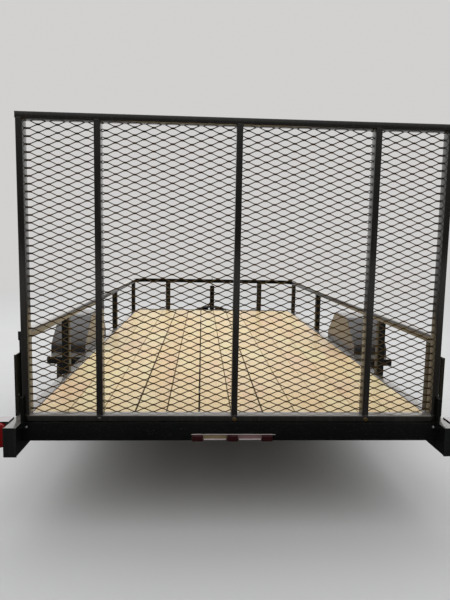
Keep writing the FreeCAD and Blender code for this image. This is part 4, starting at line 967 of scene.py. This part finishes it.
def dress_fasteners():
    """Three bolts in the jack's flange. On each spring the bolts of its eyes, and the bars, legs and nuts of
    the clamp that holds it to the axle."""
    jack = middle("jack_tube")
    turn = 2 * np.pi * np.arange(3) / 3 + np.pi / 6
    spots = zip(jack[0] + JACK_CIRCLE * np.cos(turn), jack[1] + JACK_CIRCLE * np.sin(turn))
    bolts = [bolt((x, y, JACK_FLANGE), UP, 0.0055, 0.005) for x, y in spots]
    make("jack_bolts", joined(*bolts), ZINC, "zinc_steel")
    spring, (near, far) = middle("leaf_spring_right")[0], box("spring_hangers")
    parts = [bolt((spring + way * HANGER_FACE, y, near[2] + HANGER_EYE), (way, 0, 0), 0.0095, 0.009)
             for y in (near[1] + HANGER_EYE, far[1] - HANGER_EYE) for way in (-1, 1)]
    foot, sides = AXLE[2] - CLAMP_BELOW, (spring - CLAMP_ASIDE, spring + CLAMP_ASIDE)
    parts += [rod((x, AXLE[1] - CLAMP_BAR / 2, foot), FORWARD, CLAMP_ROD, CLAMP_BAR) for x in sides]
    for y in (AXLE[1] - CLAMP_ALONG, AXLE[1] + CLAMP_ALONG):
        for x in sides:
            parts.append(rod((x, y, foot), UP, CLAMP_ROD, CLAMP_LEG))
            parts.append(bolt((x, y, foot + CLAMP_NUT), UP, 0.0085, 0.009))
    make("spring_bolts", both(joined(*parts)), ZINC, "zinc_steel")


def finish_nodes():
    """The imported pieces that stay: these have their own finish, and the rest are painted black."""
    # The gate hinges take the darker beam paint, which is painted shade.
    own = {"jack_leg": ZINC, "jack_crank": ZINC, "coupler_latch": ZINC, "lamp_shells": LAMP_BLACK,
           "rim": RIM_PAINT, "hub": HUB_IRON, "gate_caps": FRAME_BLACK, "gate_hinge": SHADED_BEAM_BLACK,
           "tongue_beam": FRONT_BLACK, "coupler": FRONT_BLACK, "jack_tube": FRONT_BLACK}
    for name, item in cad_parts.items():
        finish = own.get(name.removesuffix("_right").removesuffix("_left"), BLACK)
        if not item.material_slots:
            item.data.materials.append(finish)
        for slot in item.material_slots:
            slot.material = finish


# Stage: floor, light and the camera at the photograph's angle

SKYLINE = (0.645, 0.635, 0.625)
NOTHING = (0, 0, 0)
FLOOR_HALF = 60
PANEL_SIZE, PANEL_POWER, PANEL_PLACE = 7.0, 110.0, (-0.8, 0.8, 6.0)


def dress_floor():
    """A flat floor, a grid of squares. Near the trailer it is a pale matt surface. Far away it glows as
    brightly as the surround, so that no edge shows where they meet. It throws less light up than it shows."""
    line = np.linspace(-FLOOR_HALF, FLOOR_HALF, 41)
    x, y = np.meshgrid(line, line)
    corners, faces = surface(np.stack([x, y, 0 * x], -1), around=False)
    mesh = bpy.data.meshes.new("floor")
    mesh.from_pydata(corners.tolist(), [], faces.tolist())
    made, tree, shader = start_material("floor_finish")
    place = own_place(tree)
    away = add_node(tree, "VectorMath", {"operation": "LENGTH"}, i0=place).outputs["Value"]
    far_off = band(tree, away, 4.5, 13.0)
    seen = add_node(tree, "LightPath").outputs["Is Camera Ray"]
    soft = mix_colour(tree, noise(tree, place, 1.4, 3.0), (0.49, 0.49, 0.485), (0.54, 0.54, 0.53))
    pale = mix_colour(tree, seen, (0.15, 0.15, 0.15), soft)
    fill(tree, shader, Base_Color=mix_colour(tree, far_off, pale, NOTHING),
         Emission_Color=mix_colour(tree, far_off, NOTHING, SKYLINE), Emission_Strength=1.0,
         Specular_IOR_Level=0.0, Roughness=0.8)
    mesh.materials.append(made)
    floor = add_object("floor", mesh)


def build_stage():
    """The floor, a surround bright overhead and in front and dim behind, and a large soft panel above."""
    bpy.context.scene.view_settings.view_transform = "Standard"
    dress_floor()
    world = bpy.data.worlds.new("surround")
    world.use_nodes = True
    tree = world.node_tree
    way = add_node(tree, "TexCoord").outputs["Generated"]
    way = add_node(tree, "SeparateXYZ", Vector=way).outputs
    level = mix_colour(tree, band(tree, way["Z"], -0.02, 0.35), (0.1, 0.1, 0.1), (0.4, 0.4, 0.4))
    level = mix_colour(tree, band(tree, way["Y"], -0.5, 0.7), level, (1.0, 0.99, 0.97))
    level = mix_colour(tree, band(tree, way["Z"], 0.12, 0.75), level, (1.32, 1.33, 1.36))
    seen = add_node(tree, "LightPath").outputs["Is Camera Ray"]
    tree.links.new(mix_colour(tree, seen, level, SKYLINE), tree.nodes["Background"].inputs["Color"])
    bpy.context.scene.world = world
    lamp = bpy.data.lights.new("panel_above", "AREA")
    lamp.size, lamp.energy = PANEL_SIZE, PANEL_POWER
    add_object("panel_above", lamp).location = PANEL_PLACE


# Where the camera stands, how it is turned, and its lens in pixels of a photograph 600 high
STAND = (-0.1418, -4.4077, 1.1912)
YAW, PITCH, ROLL = 0.04884, 0.10797, 0.01828
LENS_PIXELS, PHOTO_HEIGHT, SENSOR = 486.76, 600.0, 36.0


def aim_camera():
    """Behind the gate, a little left of the middle, as in the photograph."""
    ahead = np.array([math.sin(YAW) * math.cos(PITCH), math.cos(YAW) * math.cos(PITCH), -math.sin(PITCH)])
    level = np.array([math.cos(YAW), -math.sin(YAW), 0.0])
    above = np.cross(level, ahead)
    right = level * math.cos(ROLL) + above * math.sin(ROLL)
    up = -level * math.sin(ROLL) + above * math.cos(ROLL)
    lens = bpy.data.cameras.new("camera")
    lens.sensor_fit = "VERTICAL"
    lens.sensor_height = SENSOR
    lens.lens = SENSOR * LENS_PIXELS / PHOTO_HEIGHT
    camera = add_object("camera", lens)
    turn = Matrix(np.stack([right, up, -ahead], 1).tolist()).to_4x4()
    camera.matrix_world = Matrix.Translation(STAND) @ turn
    bpy.context.scene.camera = camera


aim_camera()
build_stage()
finish_nodes()
dress_frame()
dress_top_rail()
dress_welds()
dress_deck()
dress_gate_frame()
dress_gate_mesh()
dress_hinges()
dress_fenders()
dress_tyres()
dress_wheels()
dress_lamps()
dress_fasteners()
